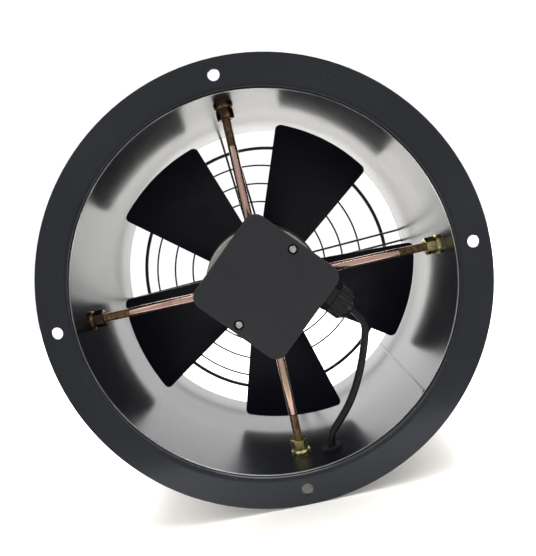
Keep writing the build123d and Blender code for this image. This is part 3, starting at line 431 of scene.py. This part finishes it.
# ---------------------------------------------------------------- threaded rods
ROD_END_CHAMFER = 0.8 * MM
THREAD_RUN_OUT = 1.5 * MM
THREAD_PITCH = 1.25 * MM
THREAD_DEPTH = 0.55 * MM
THREAD_START = 122.0 * MM
ROD_SEGMENTS = 32
THREAD_STEPS = 8


def thread_radius(distance, turn):
    """Radius of the V thread at a distance along the rod and an angle round it."""
    phase = (distance / THREAD_PITCH - turn / tau) % 1.0
    return ROD_RADIUS - THREAD_DEPTH * abs(2.0 * phase - 1.0)


def rod_ring(distance, radius_at):
    """One ring of points round the rod."""
    turns = [tau * i / ROD_SEGMENTS for i in range(ROD_SEGMENTS)]
    return [Vector((radius_at(t) * cos(t), radius_at(t) * sin(t), distance)) for t in turns]


def make_rod(name, angle):
    """A rod with a smooth shank, a V thread at its outer end and chamfered ends."""
    mesh_data = bmesh.new()
    place = radial_place(angle, 0.0, ROD_Y)
    shank_end = THREAD_START - THREAD_RUN_OUT
    shank = [
        rod_ring(ROD_START, lambda t: ROD_RADIUS - ROD_END_CHAMFER),
        rod_ring(ROD_START + ROD_END_CHAMFER, lambda t: ROD_RADIUS),
        rod_ring(shank_end, lambda t: ROD_RADIUS),
    ]
    first = add_rings(mesh_data, shank, place)[0]
    mesh_data.faces.new(first[::-1])
    count = int((ROD_END - ROD_END_CHAMFER - THREAD_START) / THREAD_PITCH * THREAD_STEPS)
    thread = [rod_ring(shank_end, lambda t: ROD_RADIUS)]
    for step in range(count + 1):
        distance = THREAD_START + step * THREAD_PITCH / THREAD_STEPS
        thread.append(rod_ring(distance, lambda t: thread_radius(distance, t)))
    thread.append(rod_ring(ROD_END, lambda t: ROD_RADIUS - ROD_END_CHAMFER))
    last = add_rings(mesh_data, thread, place, 1)[-1]
    mesh_data.faces.new(last).material_index = 1
    piece = mesh_piece(name, mesh_data, "duct", [PASSIVATE, DARK_THREAD], 50.0)
    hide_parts(name.replace("threaded", "support"))


# ---------------------------------------------------------------- nuts and bolts
HEX_SAMPLES = 72
HEX_CHAMFER_CIRCLE = 0.95
HEX_CHAMFER_SLOPE = 0.58
BORE_CHAMFER = 0.5 * MM
SOLID_CORE = 0.2 * MM
WASHER_THICKNESS = 1.6 * MM
BOLT_HEAD_HEIGHT = 5.3 * MM
BOLT_LENGTH = 20.0 * MM
BOLT_CHAMFER = 0.8 * MM
FLANGE_RIM_SHARE = 0.55
FLANGE_TOP_SHARE = 0.84
HEX_START_SHARE = 0.9


def hex_radius(turn, flats):
    """Distance from the centre to a hexagon's side."""
    return flats / 2 / cos((turn + pi / 6) % (pi / 3) - pi / 6)


def add_hexagon(mesh_data, place, flats, low, high, bore, chamfer_low=False):
    """A hexagon whose corners are cut by a cone at its outer end, and at its inner end if asked."""
    turns = [tau * i / HEX_SAMPLES for i in range(HEX_SAMPLES)]
    flat_circle = flats / 2 * HEX_CHAMFER_CIRCLE

    def ring(radius_at, height_at):
        return [Vector((radius_at(t) * cos(t), radius_at(t) * sin(t), height_at(t))) for t in turns]

    def drop(t):
        return (hex_radius(t, flats) - flat_circle) * HEX_CHAMFER_SLOPE

    low_drop = drop if chamfer_low else (lambda t: 0.0)
    inner = max(bore, SOLID_CORE)
    rings = [
        ring(lambda t: inner, lambda t: low),
        ring(lambda t: flat_circle, lambda t: low),
        ring(lambda t: hex_radius(t, flats), lambda t: low + low_drop(t)),
        ring(lambda t: hex_radius(t, flats), lambda t: high - drop(t)),
        ring(lambda t: flat_circle, lambda t: high),
        ring(lambda t: inner + (BORE_CHAMFER if bore else 0.0), lambda t: high),
    ]
    if bore:
        rings.append(ring(lambda t: inner, lambda t: high - BORE_CHAMFER))
        rings.append(rings[0])
    made = add_rings(mesh_data, rings, place)
    if not bore:
        mesh_data.faces.new(made[0])
        mesh_data.faces.new(made[-1])


def add_flange(mesh_data, place, radius, height, bore):
    """The round flange of a flange nut, thinner at its rim."""
    outline = [
        (bore, 0.0),
        (radius, 0.0),
        (radius, height * FLANGE_RIM_SHARE),
        (radius * FLANGE_TOP_SHARE, height),
        (bore, height),
        (bore, 0.0),
    ]
    add_rings(mesh_data, turned_rings(outline, HEX_SAMPLES), place)


def make_inner_nuts():
    """Flange nuts against the inside of the wall."""
    mesh_data = bmesh.new()
    for angle in QUARTERS:
        finished = len(mesh_data.faces)
        place = radial_place(angle, INNER_NUT_SEAT, ROD_Y) @ Matrix.Rotation(pi, 4, "X")
        add_flange(mesh_data, place, NUT_FLANGE_RADIUS, LONG_NUT_FLANGE_HEIGHT, NUT_BORE)
        add_hexagon(mesh_data, place, NUT_FLATS, LONG_NUT_FLANGE_HEIGHT, LONG_NUT_HEIGHT, NUT_BORE, True)
        mesh_data.faces.ensure_lookup_table()
        for face in mesh_data.faces[finished:]:
            # the top and the left nuts get the darker zinc, which is painted shade
            face.material_index = 1 if angle in SHADED_NUTS else 0
    piece = mesh_piece("wall_flange_nuts", mesh_data, "duct", [YELLOW_ZINC, SHADED_ZINC])
    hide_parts("inner_rod_nuts")


def make_outer_nuts():
    """Plain nuts on the washers outside the wall."""
    mesh_data = bmesh.new()
    for angle in QUARTERS:
        place = radial_place(angle, OUTER_NUT_SEAT, ROD_Y)
        add_hexagon(mesh_data, place, NUT_FLATS, 0.0, NUT_HEIGHT - NUT_FLANGE_HEIGHT, NUT_BORE, True)
    piece = mesh_piece("outer_hex_nuts", mesh_data, "duct", [YELLOW_ZINC])
    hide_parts("outer_rod_nuts")


def make_guard_fasteners():
    """Bolts on the guard's washers, and flange nuts on the other side of the rear flange."""
    bolts = bmesh.new()
    nuts = bmesh.new()
    seat = LOOP_TOP + WASHER_THICKNESS
    tip = seat - BOLT_LENGTH
    shank = [(ROD_RADIUS, seat), (ROD_RADIUS, tip + BOLT_CHAMFER), (ROD_RADIUS - BOLT_CHAMFER, tip)]
    nut_seat = Vector((0.0, DUCT_LENGTH - SHEET, 0.0))
    for angle in GUARD_BOLT_ANGLES:
        turn = radians(angle)
        centre = Vector((BOLT_CIRCLE * cos(turn), 0.0, BOLT_CIRCLE * sin(turn)))
        rearward = Matrix.Translation(centre) @ Matrix.Rotation(-pi / 2, 4, "X")
        add_hexagon(bolts, rearward, NUT_FLATS, seat, seat + BOLT_HEAD_HEIGHT, 0.0)
        made = add_rings(bolts, turned_rings(shank, HEX_SAMPLES), rearward)
        bolts.faces.new(made[0])
        bolts.faces.new(made[-1])
        forward = Matrix.Translation(centre + nut_seat) @ Matrix.Rotation(pi / 2, 4, "X")
        add_flange(nuts, forward, NUT_FLANGE_RADIUS, NUT_FLANGE_HEIGHT, NUT_BORE)
        add_hexagon(nuts, forward, NUT_FLATS, NUT_FLANGE_HEIGHT * HEX_START_SHARE, NUT_HEIGHT, NUT_BORE)
    bolt_piece = mesh_piece("guard_hex_bolts", bolts, "duct", [YELLOW_ZINC])
    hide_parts("guard_bolts")
    nut_piece = mesh_piece("guard_flange_nuts", nuts, "duct", [YELLOW_ZINC])
    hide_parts("guard_nuts")


# ---------------------------------------------------------------- painted highlight on the front mouth's bend
HIGHLIGHT_RING_FROM = 4.0
HIGHLIGHT_RING_TO = 17.0
HIGHLIGHT_RING_STEPS = 5
HIGHLIGHT_RING_PROUD = 0.12 * MM
HIGHLIGHT_RING_SEGMENTS = 360


def make_mouth_highlight():
    """A ring of bright bare metal all round the front mouth's bend: a painted highlight line where the
    bend catches the light.
    """
    bend_centre = DUCT_RADIUS + MOUTH_BEND
    outer = MOUTH_BEND + HIGHLIGHT_RING_PROUD
    inner = MOUTH_BEND - HIGHLIGHT_RING_PROUD
    span = HIGHLIGHT_RING_TO - HIGHLIGHT_RING_FROM
    leans = [HIGHLIGHT_RING_FROM + span * i / HIGHLIGHT_RING_STEPS for i in range(HIGHLIGHT_RING_STEPS + 1)]
    path = [(outer, lean) for lean in leans] + [(inner, lean) for lean in leans[::-1]]
    turns = [tau * i / HIGHLIGHT_RING_SEGMENTS for i in range(HIGHLIGHT_RING_SEGMENTS)]
    rings = []
    for reach, lean in path + path[:1]:
        radius = bend_centre - reach * cos(radians(lean))
        y = MOUTH_BEND - reach * sin(radians(lean))
        rings.append([Vector((radius * cos(t), y, radius * sin(t))) for t in turns])
    mesh_data = bmesh.new()
    add_rings(mesh_data, rings, Matrix.Identity(4))
    mesh_piece("painted_mouth_highlight", mesh_data, "duct", [MOUTH_HIGHLIGHT_METAL])


# ---------------------------------------------------------------- welds
BEAD_COLUMNS = 6
BEAD_SUNK = 0.05 * MM
BEAD_END_TAPER = 0.4
RIPPLE_POINTS = 4


def add_bead(mesh_data, points, outward, width, height, ripple):
    """A low rippled bead along a line of points; outward gives the way it stands proud at each point."""
    rows = []
    for index, point in enumerate(points):
        before = points[max(index - 1, 0)]
        after = points[min(index + 1, len(points) - 1)]
        along = (after - before).normalized()
        up = outward(point)
        side = along.cross(up).normalized()
        swell = 1.0 + ripple * sin(index * tau / RIPPLE_POINTS)
        taper = BEAD_END_TAPER if index in (0, len(points) - 1) else 1.0
        row = []
        for column in range(BEAD_COLUMNS + 1):
            across = column / BEAD_COLUMNS * 2 - 1
            lift = (1 - across * across) * height * swell * taper - BEAD_SUNK
            row.append(mesh_data.verts.new(point + side * across * width / 2 * taper + up * lift))
        rows.append(row)
    for before, after in zip(rows, rows[1:]):
        for i in range(BEAD_COLUMNS):
            mesh_data.faces.new((before[i], before[i + 1], after[i + 1], after[i]))
    mesh_data.faces.new(rows[0][::-1])
    mesh_data.faces.new(rows[-1])
    for before, after in zip(rows, rows[1:]):
        mesh_data.faces.new((before[0], after[0], after[-1], before[-1]))


SEAM_PROUD = 0.4 * MM
SEAM_BEAD_WIDTH = 2.6 * MM
SEAM_BEAD_HEIGHT = 0.3 * MM
SEAM_BEAD_RIPPLE = 0.35
SEAM_STEPS = 260
BLADE_ROOT_Y = 101.0 * MM
BLADE_ROOT_SLOPE = 0.408
BLADE_ROOT_CAMBER = 4.4 * MM
BLADE_HALF_ROOT = 23.0 * MM
BLADE_SHEET = 2.0 * MM
BLADE_BEAD_WIDTH = 3.4 * MM
BLADE_BEAD_HEIGHT = 1.2 * MM
BLADE_BEAD_RIPPLE = 0.2
BLADE_BEAD_HALF_STEPS = 16


def make_seam_bead():
    """The casing's lengthwise weld, inside and outside."""
    mesh_data = bmesh.new()
    turn = radians(SEAM_ANGLE)
    outward = Vector((cos(turn), 0.0, sin(turn)))
    length = DUCT_LENGTH - 2 * MOUTH_BEND
    depths = [MOUTH_BEND + length * i / SEAM_STEPS for i in range(SEAM_STEPS + 1)]
    for radius, way in ((DUCT_RADIUS - SEAM_PROUD, -1), (DUCT_RADIUS + SHEET + SEAM_PROUD, 1)):
        points = [outward * radius + Vector((0.0, y, 0.0)) for y in depths]
        facing = outward * way

        def away(point, facing=facing):
            return facing

        add_bead(mesh_data, points, away, SEAM_BEAD_WIDTH, SEAM_BEAD_HEIGHT, SEAM_BEAD_RIPPLE)
    mesh_piece("casing_seam_weld", mesh_data, "duct", [ENAMEL])


def make_blade_welds():
    """Two beads along each blade's root, where the sheet meets the rotor can."""
    for number, angle in enumerate(BLADE_ANGLES):
        mesh_data = bmesh.new()
        for back in (0.0, BLADE_SHEET):
            points = []
            for step in range(2 * BLADE_BEAD_HALF_STEPS + 1):
                share = step / BLADE_BEAD_HALF_STEPS - 1
                across = BLADE_HALF_ROOT * share
                y = BLADE_ROOT_Y - BLADE_ROOT_SLOPE * across - BLADE_ROOT_CAMBER * share * share + back
                turn = radians(angle) + asin(across / CAN_RADIUS)
                points.append(Vector((CAN_RADIUS * cos(turn), y, CAN_RADIUS * sin(turn))))
            lean = -1.0 if back == 0.0 else 1.0

            def outward(point, lean=lean):
                radial = Vector((point.x, 0.0, point.z)).normalized()
                return (radial + Vector((0.0, lean, 0.0))).normalized()

            add_bead(mesh_data, points, outward, BLADE_BEAD_WIDTH, BLADE_BEAD_HEIGHT, BLADE_BEAD_RIPPLE)
        mesh_piece(f"blade_weld_{number + 1}", mesh_data, "rotor", [ROTOR_PAINT])


def add_blob(mesh_data, centre, size):
    """A small flattened weld nugget."""
    place = Matrix.Translation(centre) @ Matrix.Diagonal((*size, 1.0))
    bmesh.ops.create_icosphere(mesh_data, subdivisions=2, radius=1.0, matrix=place)


SPIRAL_START = 126.5 * MM
SPIRAL_STEP = 20.6 * MM / 4
SPIRAL_QUARTERS = 19
RING_NUGGET = 1.9 * MM
SPIRAL_NUGGET = 1.4 * MM


def spiral_crossings():
    """Where the guard's spiral crosses the upright and the level loops, quarter by quarter."""
    centre = Vector((0.0, 0.0))
    heading = -pi / 2
    radius = SPIRAL_START
    crossings = []
    for _ in range(SPIRAL_QUARTERS):
        spoke = Vector((cos(heading), sin(heading)))
        crossings.append(centre + spoke * radius)
        end = Vector((cos(heading - pi / 2), sin(heading - pi / 2)))
        centre = centre + end * SPIRAL_STEP
        heading -= pi / 2
        radius -= SPIRAL_STEP
    return crossings


def add_guard_nugget(mesh_data, x, z, size, loop_turn):
    """A weld nugget on one of the guard's loops, which are turned a little about the duct's axis."""
    turn = radians(loop_turn)
    centre = Vector((x * cos(turn) - z * sin(turn), LOOP_TOP, x * sin(turn) + z * cos(turn)))
    add_blob(mesh_data, centre, (size, size / 2, size))


def make_guard_welds():
    """Resistance-weld nuggets where the guard's round wires cross its loops."""
    mesh_data = bmesh.new()
    for side in (-HALF_LOOP, HALF_LOOP):
        for sign in (-1, 1):
            reach = (RING_RADIUS**2 - HALF_LOOP**2) ** 0.5 * sign
            add_guard_nugget(mesh_data, side, reach, RING_NUGGET, UPRIGHT_LOOP_TURN)
            add_guard_nugget(mesh_data, reach, side, RING_NUGGET, LEVEL_LOOP_TURN)
    for number, crossing in enumerate(spiral_crossings()):
        for side in (-HALF_LOOP, HALF_LOOP):
            if number % 2 == 0:
                add_guard_nugget(mesh_data, side, crossing.y, SPIRAL_NUGGET, UPRIGHT_LOOP_TURN)
            else:
                add_guard_nugget(mesh_data, crossing.x, side, SPIRAL_NUGGET, LEVEL_LOOP_TURN)
    mesh_piece("guard_weld_nuggets", mesh_data, "duct", [GUARD_PAINT])


# ---------------------------------------------------------------- cover screws
BOX_ANGLE = -48.0
BOX_CENTRE = Vector((3.0 * MM, 0.0, -0.5 * MM))
SCREW_OFFSET = 37.5 * MM
SCREW_LOW, SCREW_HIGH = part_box("cover_screws")
SCREW_HEAD_RADIUS = 3.1 * MM
SCREW_SEAT = 5.6 * MM
SHADE_SEAL_RADIUS = 4.2 * MM
SHADE_SEAL_THICKNESS = 0.4 * MM
CROSS_REACH = 1.9 * MM
CROSS_HALF_WIDTH = 0.45 * MM
CROSS_DEPTH = 1.0 * MM
SHANK_RADIUS = 1.9 * MM
SCREW_POINT = 1.0 * MM
SCREW_POINT_SHARE = 0.6
HEAD_DOME = ((1.0, 0.6), (0.92, 0.85), (0.72, 1.0))
CROSS_LEVELS = ((1.0, 0.0), (0.7, CROSS_DEPTH))


def cross_radius(turn, share):
    """Distance from the screw's centre to the edge of its cross-shaped recess."""
    lean = (turn + pi / 4) % (pi / 2) - pi / 4
    reach = CROSS_REACH * share / cos(lean)
    side = CROSS_HALF_WIDTH * share / max(abs(sin(lean)), 1e-6)
    return min(reach, side)


def make_cover_screws():
    """Domed cross-head screws on black sealing washers deep in the cover's recesses; the black washers
    paint the recess floors dark as painted shade.
    """
    turn = radians(BOX_ANGLE)
    across = Vector((cos(turn), 0.0, sin(turn)))
    upward = Vector((-sin(turn), 0.0, cos(turn)))
    frontward = Vector((0.0, -1.0, 0.0))
    rows = Matrix((across, upward, frontward)).transposed().to_4x4()
    turns = [tau * i / HEX_SAMPLES for i in range(HEX_SAMPLES)]
    top = SCREW_SEAT - SCREW_LOW.y
    end = SCREW_SEAT - SCREW_HIGH.y
    shade_seal = [
        (SHANK_RADIUS, 0.0),
        (SHADE_SEAL_RADIUS, 0.0),
        (SHADE_SEAL_RADIUS, SHADE_SEAL_THICKNESS),
        (SHANK_RADIUS, SHADE_SEAL_THICKNESS),
        (SHANK_RADIUS, 0.0),
    ]
    head = [
        (SHANK_RADIUS * SCREW_POINT_SHARE, end),
        (SHANK_RADIUS, end + SCREW_POINT),
        (SHANK_RADIUS, SHADE_SEAL_THICKNESS),
        (SCREW_HEAD_RADIUS, SHADE_SEAL_THICKNESS),
    ]
    head += [(SCREW_HEAD_RADIUS * wide, top * high) for wide, high in HEAD_DOME]
    mesh_data = bmesh.new()
    for sign in (-1, 1):
        centre = BOX_CENTRE + upward * SCREW_OFFSET * sign + Vector((0.0, SCREW_SEAT, 0.0))
        place = Matrix.Translation(centre) @ rows
        # black washer under each head: a dark ring that paints the recess floor's shade
        add_rings(mesh_data, turned_rings(shade_seal, HEX_SAMPLES), place, 1)
        head_rings = turned_rings(head, HEX_SAMPLES)
        for share, depth in CROSS_LEVELS:
            edge = [(t, cross_radius(t, share)) for t in turns]
            head_rings.append([Vector((r * cos(t), r * sin(t), top - depth)) for t, r in edge])
        made = add_rings(mesh_data, head_rings, place)
        mesh_data.faces.new(made[0])
        mesh_data.faces.new(made[-1])
    materials = [SLOT_MATERIALS["bright_screw"], SLOT_MATERIALS["black_rubber"]]
    piece = mesh_piece("domed_cover_screws", mesh_data, "duct", materials)
    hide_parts("cover_screws")


# ---------------------------------------------------------------- cable gland
GLAND_ASIDE = 25.0 * MM
GLAND_Y = 19.0 * MM
CAP_START = 51.2 * MM
CAP_SHOULDER = 65.0 * MM
CAP_END = 69.0 * MM
CAP_RADIUS = 13.9 * MM
CAP_MOUTH = 6.05 * MM
CAP_RIBS = 18
SAMPLES_A_RIB = 8
RIB_DEPTH = 0.9 * MM
CAP_EDGE = 0.6 * MM
CAP_INNER_BEVEL = 2.0 * MM
CAP_BEVEL = 1.6 * MM
CAP_NOSE = ((10.4 * MM, 1.4 * MM), (9.4 * MM, 0.3 * MM), (8.5 * MM, 0.0))
CAP_MOUTH_CHAMFER = 1.0 * MM


def make_cap_nut():
    """The gland's clamping nut: ribbed for the fingers, with a cone and a rounded mouth."""
    turn = radians(BOX_ANGLE)
    outward = Vector((cos(turn), 0.0, sin(turn)))
    aside = Vector((-sin(turn), 0.0, cos(turn)))
    along = Vector((0.0, 1.0, 0.0))
    centre = BOX_CENTRE + aside * GLAND_ASIDE + along * GLAND_Y
    rows = Matrix((aside, along, outward)).transposed().to_4x4()
    place = Matrix.Translation(centre) @ rows
    samples = CAP_RIBS * SAMPLES_A_RIB
    turns = [tau * i / samples for i in range(samples)]

    def ring(radius, height, ribs):
        made = []
        for t in turns:
            reach = radius - ribs * (0.5 - 0.5 * cos(t * CAP_RIBS)) ** 2
            made.append(Vector((reach * cos(t), reach * sin(t), height)))
        return made

    rings = [
        ring(CAP_MOUTH, CAP_START, 0.0),
        ring(CAP_RADIUS - CAP_INNER_BEVEL, CAP_START, 0.0),
        ring(CAP_RADIUS - CAP_EDGE, CAP_START, RIB_DEPTH),
        ring(CAP_RADIUS, CAP_START + CAP_EDGE, RIB_DEPTH),
        ring(CAP_RADIUS, CAP_SHOULDER - CAP_BEVEL, RIB_DEPTH),
        ring(CAP_RADIUS - CAP_BEVEL, CAP_SHOULDER, 0.0),
    ]
    rings += [ring(radius, CAP_END - back, 0.0) for radius, back in CAP_NOSE]
    rings.append(ring(CAP_MOUTH + CAP_MOUTH_CHAMFER, CAP_END, 0.0))
    rings.append(ring(CAP_MOUTH, CAP_END - CAP_MOUTH_CHAMFER, 0.0))
    rings.append(rings[0])
    mesh_data = bmesh.new()
    add_rings(mesh_data, rings, place)
    materials = [SLOT_MATERIALS["gland_plastic"]]
    piece = mesh_piece("ribbed_gland_nut", mesh_data, "duct", materials)
    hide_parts("cable_gland_nut")


# ---------------------------------------------------------------- supply cable
CABLE_DIAMETER = 6.4 * MM
CABLE_RADIUS = CABLE_DIAMETER / 2
CABLE_FLOOR = FLOOR + CABLE_RADIUS
COIL_CENTRE = (0.100, 0.122)
COIL_RADIUS = 0.035
COIL_TURNS = 3.25
COIL_BASE = FLOOR + 1.0 * MM
COIL_POINTS_A_TURN = 16
CABLE_EXIT = (0.06808, 0.019, -0.03542)
CABLE_ROUTE = [
    CABLE_EXIT,
    (0.0778, 0.019, -0.0462),
    (0.0733, 0.021, -0.0660),
    (0.0642, 0.024, -0.0915),
    (0.0525, 0.027, -0.1145),
    (0.0395, 0.0289, -0.1306),
    (0.02603, 0.0305, -0.14467),
    (0.03235, 0.0305, CABLE_FLOOR),
    (0.052, 0.070, CABLE_FLOOR),
    (0.076, 0.087, CABLE_FLOOR),
]
TAIL_TOP = COIL_BASE + COIL_TURNS * CABLE_DIAMETER + CABLE_RADIUS
TAIL_ROUTE = [
    (0.1353, 0.141, TAIL_TOP),
    (0.1353, 0.159, CABLE_FLOOR),
    (0.1353, 0.174, CABLE_FLOOR),
]


def coil_points():
    """Control points of the coil's turns, from its near side and one diameter up each turn."""
    spread = COIL_RADIUS / cos(pi / COIL_POINTS_A_TURN)
    points = []
    for step in range(int(COIL_TURNS * COIL_POINTS_A_TURN) + 1):
        turn = tau * step / COIL_POINTS_A_TURN
        x = COIL_CENTRE[0] + spread * sin(turn)
        y = COIL_CENTRE[1] - spread * cos(turn)
        points.append((x, y, COIL_BASE + CABLE_RADIUS + CABLE_DIAMETER * turn / tau))
    return points


def make_cable():
    """The rubber cable: gland, grommet, floor, coil and bare end, on one smooth line."""
    route = CABLE_ROUTE + coil_points() + TAIL_ROUTE
    curve = bpy.data.curves.new("cable_line", "CURVE")
    curve.dimensions = "3D"
    curve.bevel_depth = CABLE_RADIUS
    curve.bevel_resolution = 6
    curve.resolution_u = 10
    curve.use_fill_caps = True
    spline = curve.splines.new("NURBS")
    spline.points.add(len(route) - 1)
    for point, place in zip(spline.points, route):
        point.co = (*place, 1.0)
    spline.order_u = 3
    spline.use_endpoint_u = True
    curve.materials.append(CABLE_RUBBER)
    cable = bpy.data.objects.new("rubber_supply_cable", curve)
    bpy.context.scene.collection.objects.link(cable)
    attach(cable, "duct")
    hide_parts("supply_cable", "supply_cable_coil")
    return cable


CORE_LENGTH = 12.0 * MM
CORE_RADIUS = 1.0 * MM
CORE_ASIDE = 1.7 * MM
SLEEVE_LENGTH = 6.5 * MM
STRAND_RADIUS = 0.55 * MM
STRAND_TIP_RADIUS = 0.35 * MM
STRAND_CHAMFER = 0.3 * MM
CORE_SEGMENTS = 16
CORE_COLORS = {"brown": (0.16, 0.05, 0.02), "blue": (0.02, 0.08, 0.35), "yellow_green": (0.45, 0.5, 0.05)}


def make_core(number, name, color):
    """One insulated core with its strands bare at the tip."""
    mesh_data = bmesh.new()
    turn = tau * number / 3
    centre = Vector(TAIL_ROUTE[-1]) + Vector((CORE_ASIDE * cos(turn), 0.0, -CORE_ASIDE * sin(turn)))
    place = Matrix.Translation(centre) @ Matrix.Rotation(-pi / 2, 4, "X")
    sleeve = [
        (STRAND_RADIUS, 0.0),
        (CORE_RADIUS, 0.0),
        (CORE_RADIUS, SLEEVE_LENGTH),
        (STRAND_RADIUS, SLEEVE_LENGTH),
    ]
    strands = [
        (STRAND_RADIUS, SLEEVE_LENGTH),
        (STRAND_RADIUS, CORE_LENGTH - STRAND_CHAMFER),
        (STRAND_TIP_RADIUS, CORE_LENGTH),
    ]
    first = add_rings(mesh_data, turned_rings(sleeve, CORE_SEGMENTS), place)[0]
    last = add_rings(mesh_data, turned_rings(strands, CORE_SEGMENTS), place, 1)[-1]
    mesh_data.faces.new(first)
    mesh_data.faces.new(last).material_index = 1
    materials = [moulded(f"core_{name}", color, 0.4), SLOT_MATERIALS["copper_winding"]]
    return mesh_piece(f"cable_core_{name}", mesh_data, "duct", materials)


# ---------------------------------------------------------------- camera, light and floor
CAMERA_PLACE = Vector((0.0200, -0.3928, 0.0434))
CAMERA_YAW = 2.2
CAMERA_PITCH = -3.9
CAMERA_ROLL = -12.75
CAMERA_LENS = 32.15
CAMERA_SHIFT = (0.0084, -0.0207)


def make_camera():
    """Close in front of the duct's mouth, a little above its axis, and tilted so the fan looks turned."""
    data = bpy.data.cameras.new("camera")
    data.lens = CAMERA_LENS
    data.sensor_width = 36.0
    data.shift_x, data.shift_y = CAMERA_SHIFT
    data.clip_start = 0.01
    camera = bpy.data.objects.new("camera", data)
    bpy.context.scene.collection.objects.link(camera)
    turn = (
        Matrix.Rotation(radians(CAMERA_YAW), 4, "Z")
        @ Matrix.Rotation(radians(90.0 + CAMERA_PITCH), 4, "X")
        @ Matrix.Rotation(radians(CAMERA_ROLL), 4, "Z")
    )
    camera.matrix_world = Matrix.Translation(CAMERA_PLACE) @ turn
    bpy.context.scene.camera = camera


STUDIO_GLOW = ((0.0, 0.22), (0.12, 0.16), (0.3, 0.12), (0.5, 0.42), (0.62, 0.6), (0.85, 1.0))
GLOW_STRENGTH = 3.4
BACKDROP_STRENGTH = 1.05


def make_world():
    """A pale studio: brightest behind the fan, dim in front of it, and plain white to camera rays."""
    world = bpy.data.worlds.new("studio")
    bpy.context.scene.world = world
    world.use_nodes = True
    tree = world.node_tree
    place = tree.nodes.new("ShaderNodeTexCoord")
    split = tree.nodes.new("ShaderNodeSeparateXYZ")
    half = tree.nodes.new("ShaderNodeMapRange")
    half.inputs["From Min"].default_value = -1.0
    ramp = tree.nodes.new("ShaderNodeValToRGB")
    elements = ramp.color_ramp.elements
    while len(elements) < len(STUDIO_GLOW):
        elements.new(0.5)
    for element, (position, value) in zip(elements, STUDIO_GLOW):
        element.position = position
        element.color = (value, value * 0.985, value * 0.955, 1.0)
    glow = tree.nodes["Background"]
    glow.inputs["Strength"].default_value = GLOW_STRENGTH
    backdrop = tree.nodes.new("ShaderNodeBackground")
    backdrop.inputs["Color"].default_value = (1.0, 1.0, 1.0, 1.0)
    backdrop.inputs["Strength"].default_value = BACKDROP_STRENGTH
    rays = tree.nodes.new("ShaderNodeLightPath")
    mix = tree.nodes.new("ShaderNodeMixShader")
    links = tree.links
    links.new(place.outputs["Generated"], split.inputs["Vector"])
    links.new(split.outputs["Y"], half.inputs["Value"])
    links.new(half.outputs["Result"], ramp.inputs["Fac"])
    links.new(ramp.outputs["Color"], glow.inputs["Color"])
    links.new(rays.outputs["Is Camera Ray"], mix.inputs["Fac"])
    links.new(glow.outputs["Background"], mix.inputs[1])
    links.new(backdrop.outputs["Background"], mix.inputs[2])
    links.new(mix.outputs["Shader"], tree.nodes["World Output"].inputs["Surface"])


# name, place, the point it looks at, side and power
LIGHTS = (
    ("soft_left", (-1.3, -1.2, 1.6), (0.0, 0.05, 0.0), 1.6, 9.0),
    ("soft_right", (1.5, -0.6, 1.2), (0.0, 0.05, 0.0), 1.2, 4.0),
    ("soft_back", (0.0, 0.9, 1.9), (0.0, 0.7, FLOOR), 1.2, 50.0),
    ("soft_top", (0.4, -0.1, 2.3), (0.1, 0.0, FLOOR), 1.6, 45.0),
)


def make_light(name, place, target, size, power):
    """A soft square light that looks at a point."""
    data = bpy.data.lights.new(name, "AREA")
    data.size = size
    data.energy = power
    light = bpy.data.objects.new(name, data)
    bpy.context.scene.collection.objects.link(light)
    light.location = place
    light.rotation_mode = "QUATERNION"
    light.rotation_quaternion = (Vector(target) - Vector(place)).to_track_quat("-Z", "Y")


FLOOR_HALF_SIDE = 1.2
FLOOR_MIDDLE = 1.08


def make_floor():
    """A wide pale floor that the flanges and the cable touch."""
    mesh_data = bmesh.new()
    place = Matrix.Translation((0.0, FLOOR_MIDDLE, FLOOR))
    bmesh.ops.create_grid(mesh_data, x_segments=1, y_segments=1, size=FLOOR_HALF_SIDE, matrix=place)
    mesh = bpy.data.meshes.new("floor")
    mesh_data.to_mesh(mesh)
    mesh_data.free()
    floor = bpy.data.objects.new("floor", mesh)
    bpy.context.scene.collection.objects.link(floor)
    mesh.materials.append(Material("floor_paint", (0.95, 0.935, 0.905), 0.9).material)


bpy.context.scene.view_settings.view_transform = "Standard"
paint_cad_nodes()
for rod_name, rod_angle in zip(("right", "top", "left", "bottom"), QUARTERS):
    make_rod(f"threaded_rod_{rod_name}", rod_angle)
make_inner_nuts()
make_outer_nuts()
make_guard_fasteners()
make_mouth_highlight()
make_seam_bead()
make_blade_welds()
make_guard_welds()
make_cover_screws()
make_cap_nut()
supply_cable = make_cable()
cable_cores = [make_core(number, name, color) for number, (name, color) in enumerate(CORE_COLORS.items())]
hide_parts("supply_cable_cores")
make_camera()
make_world()
for light in LIGHTS:
    make_light(*light)
make_floor()
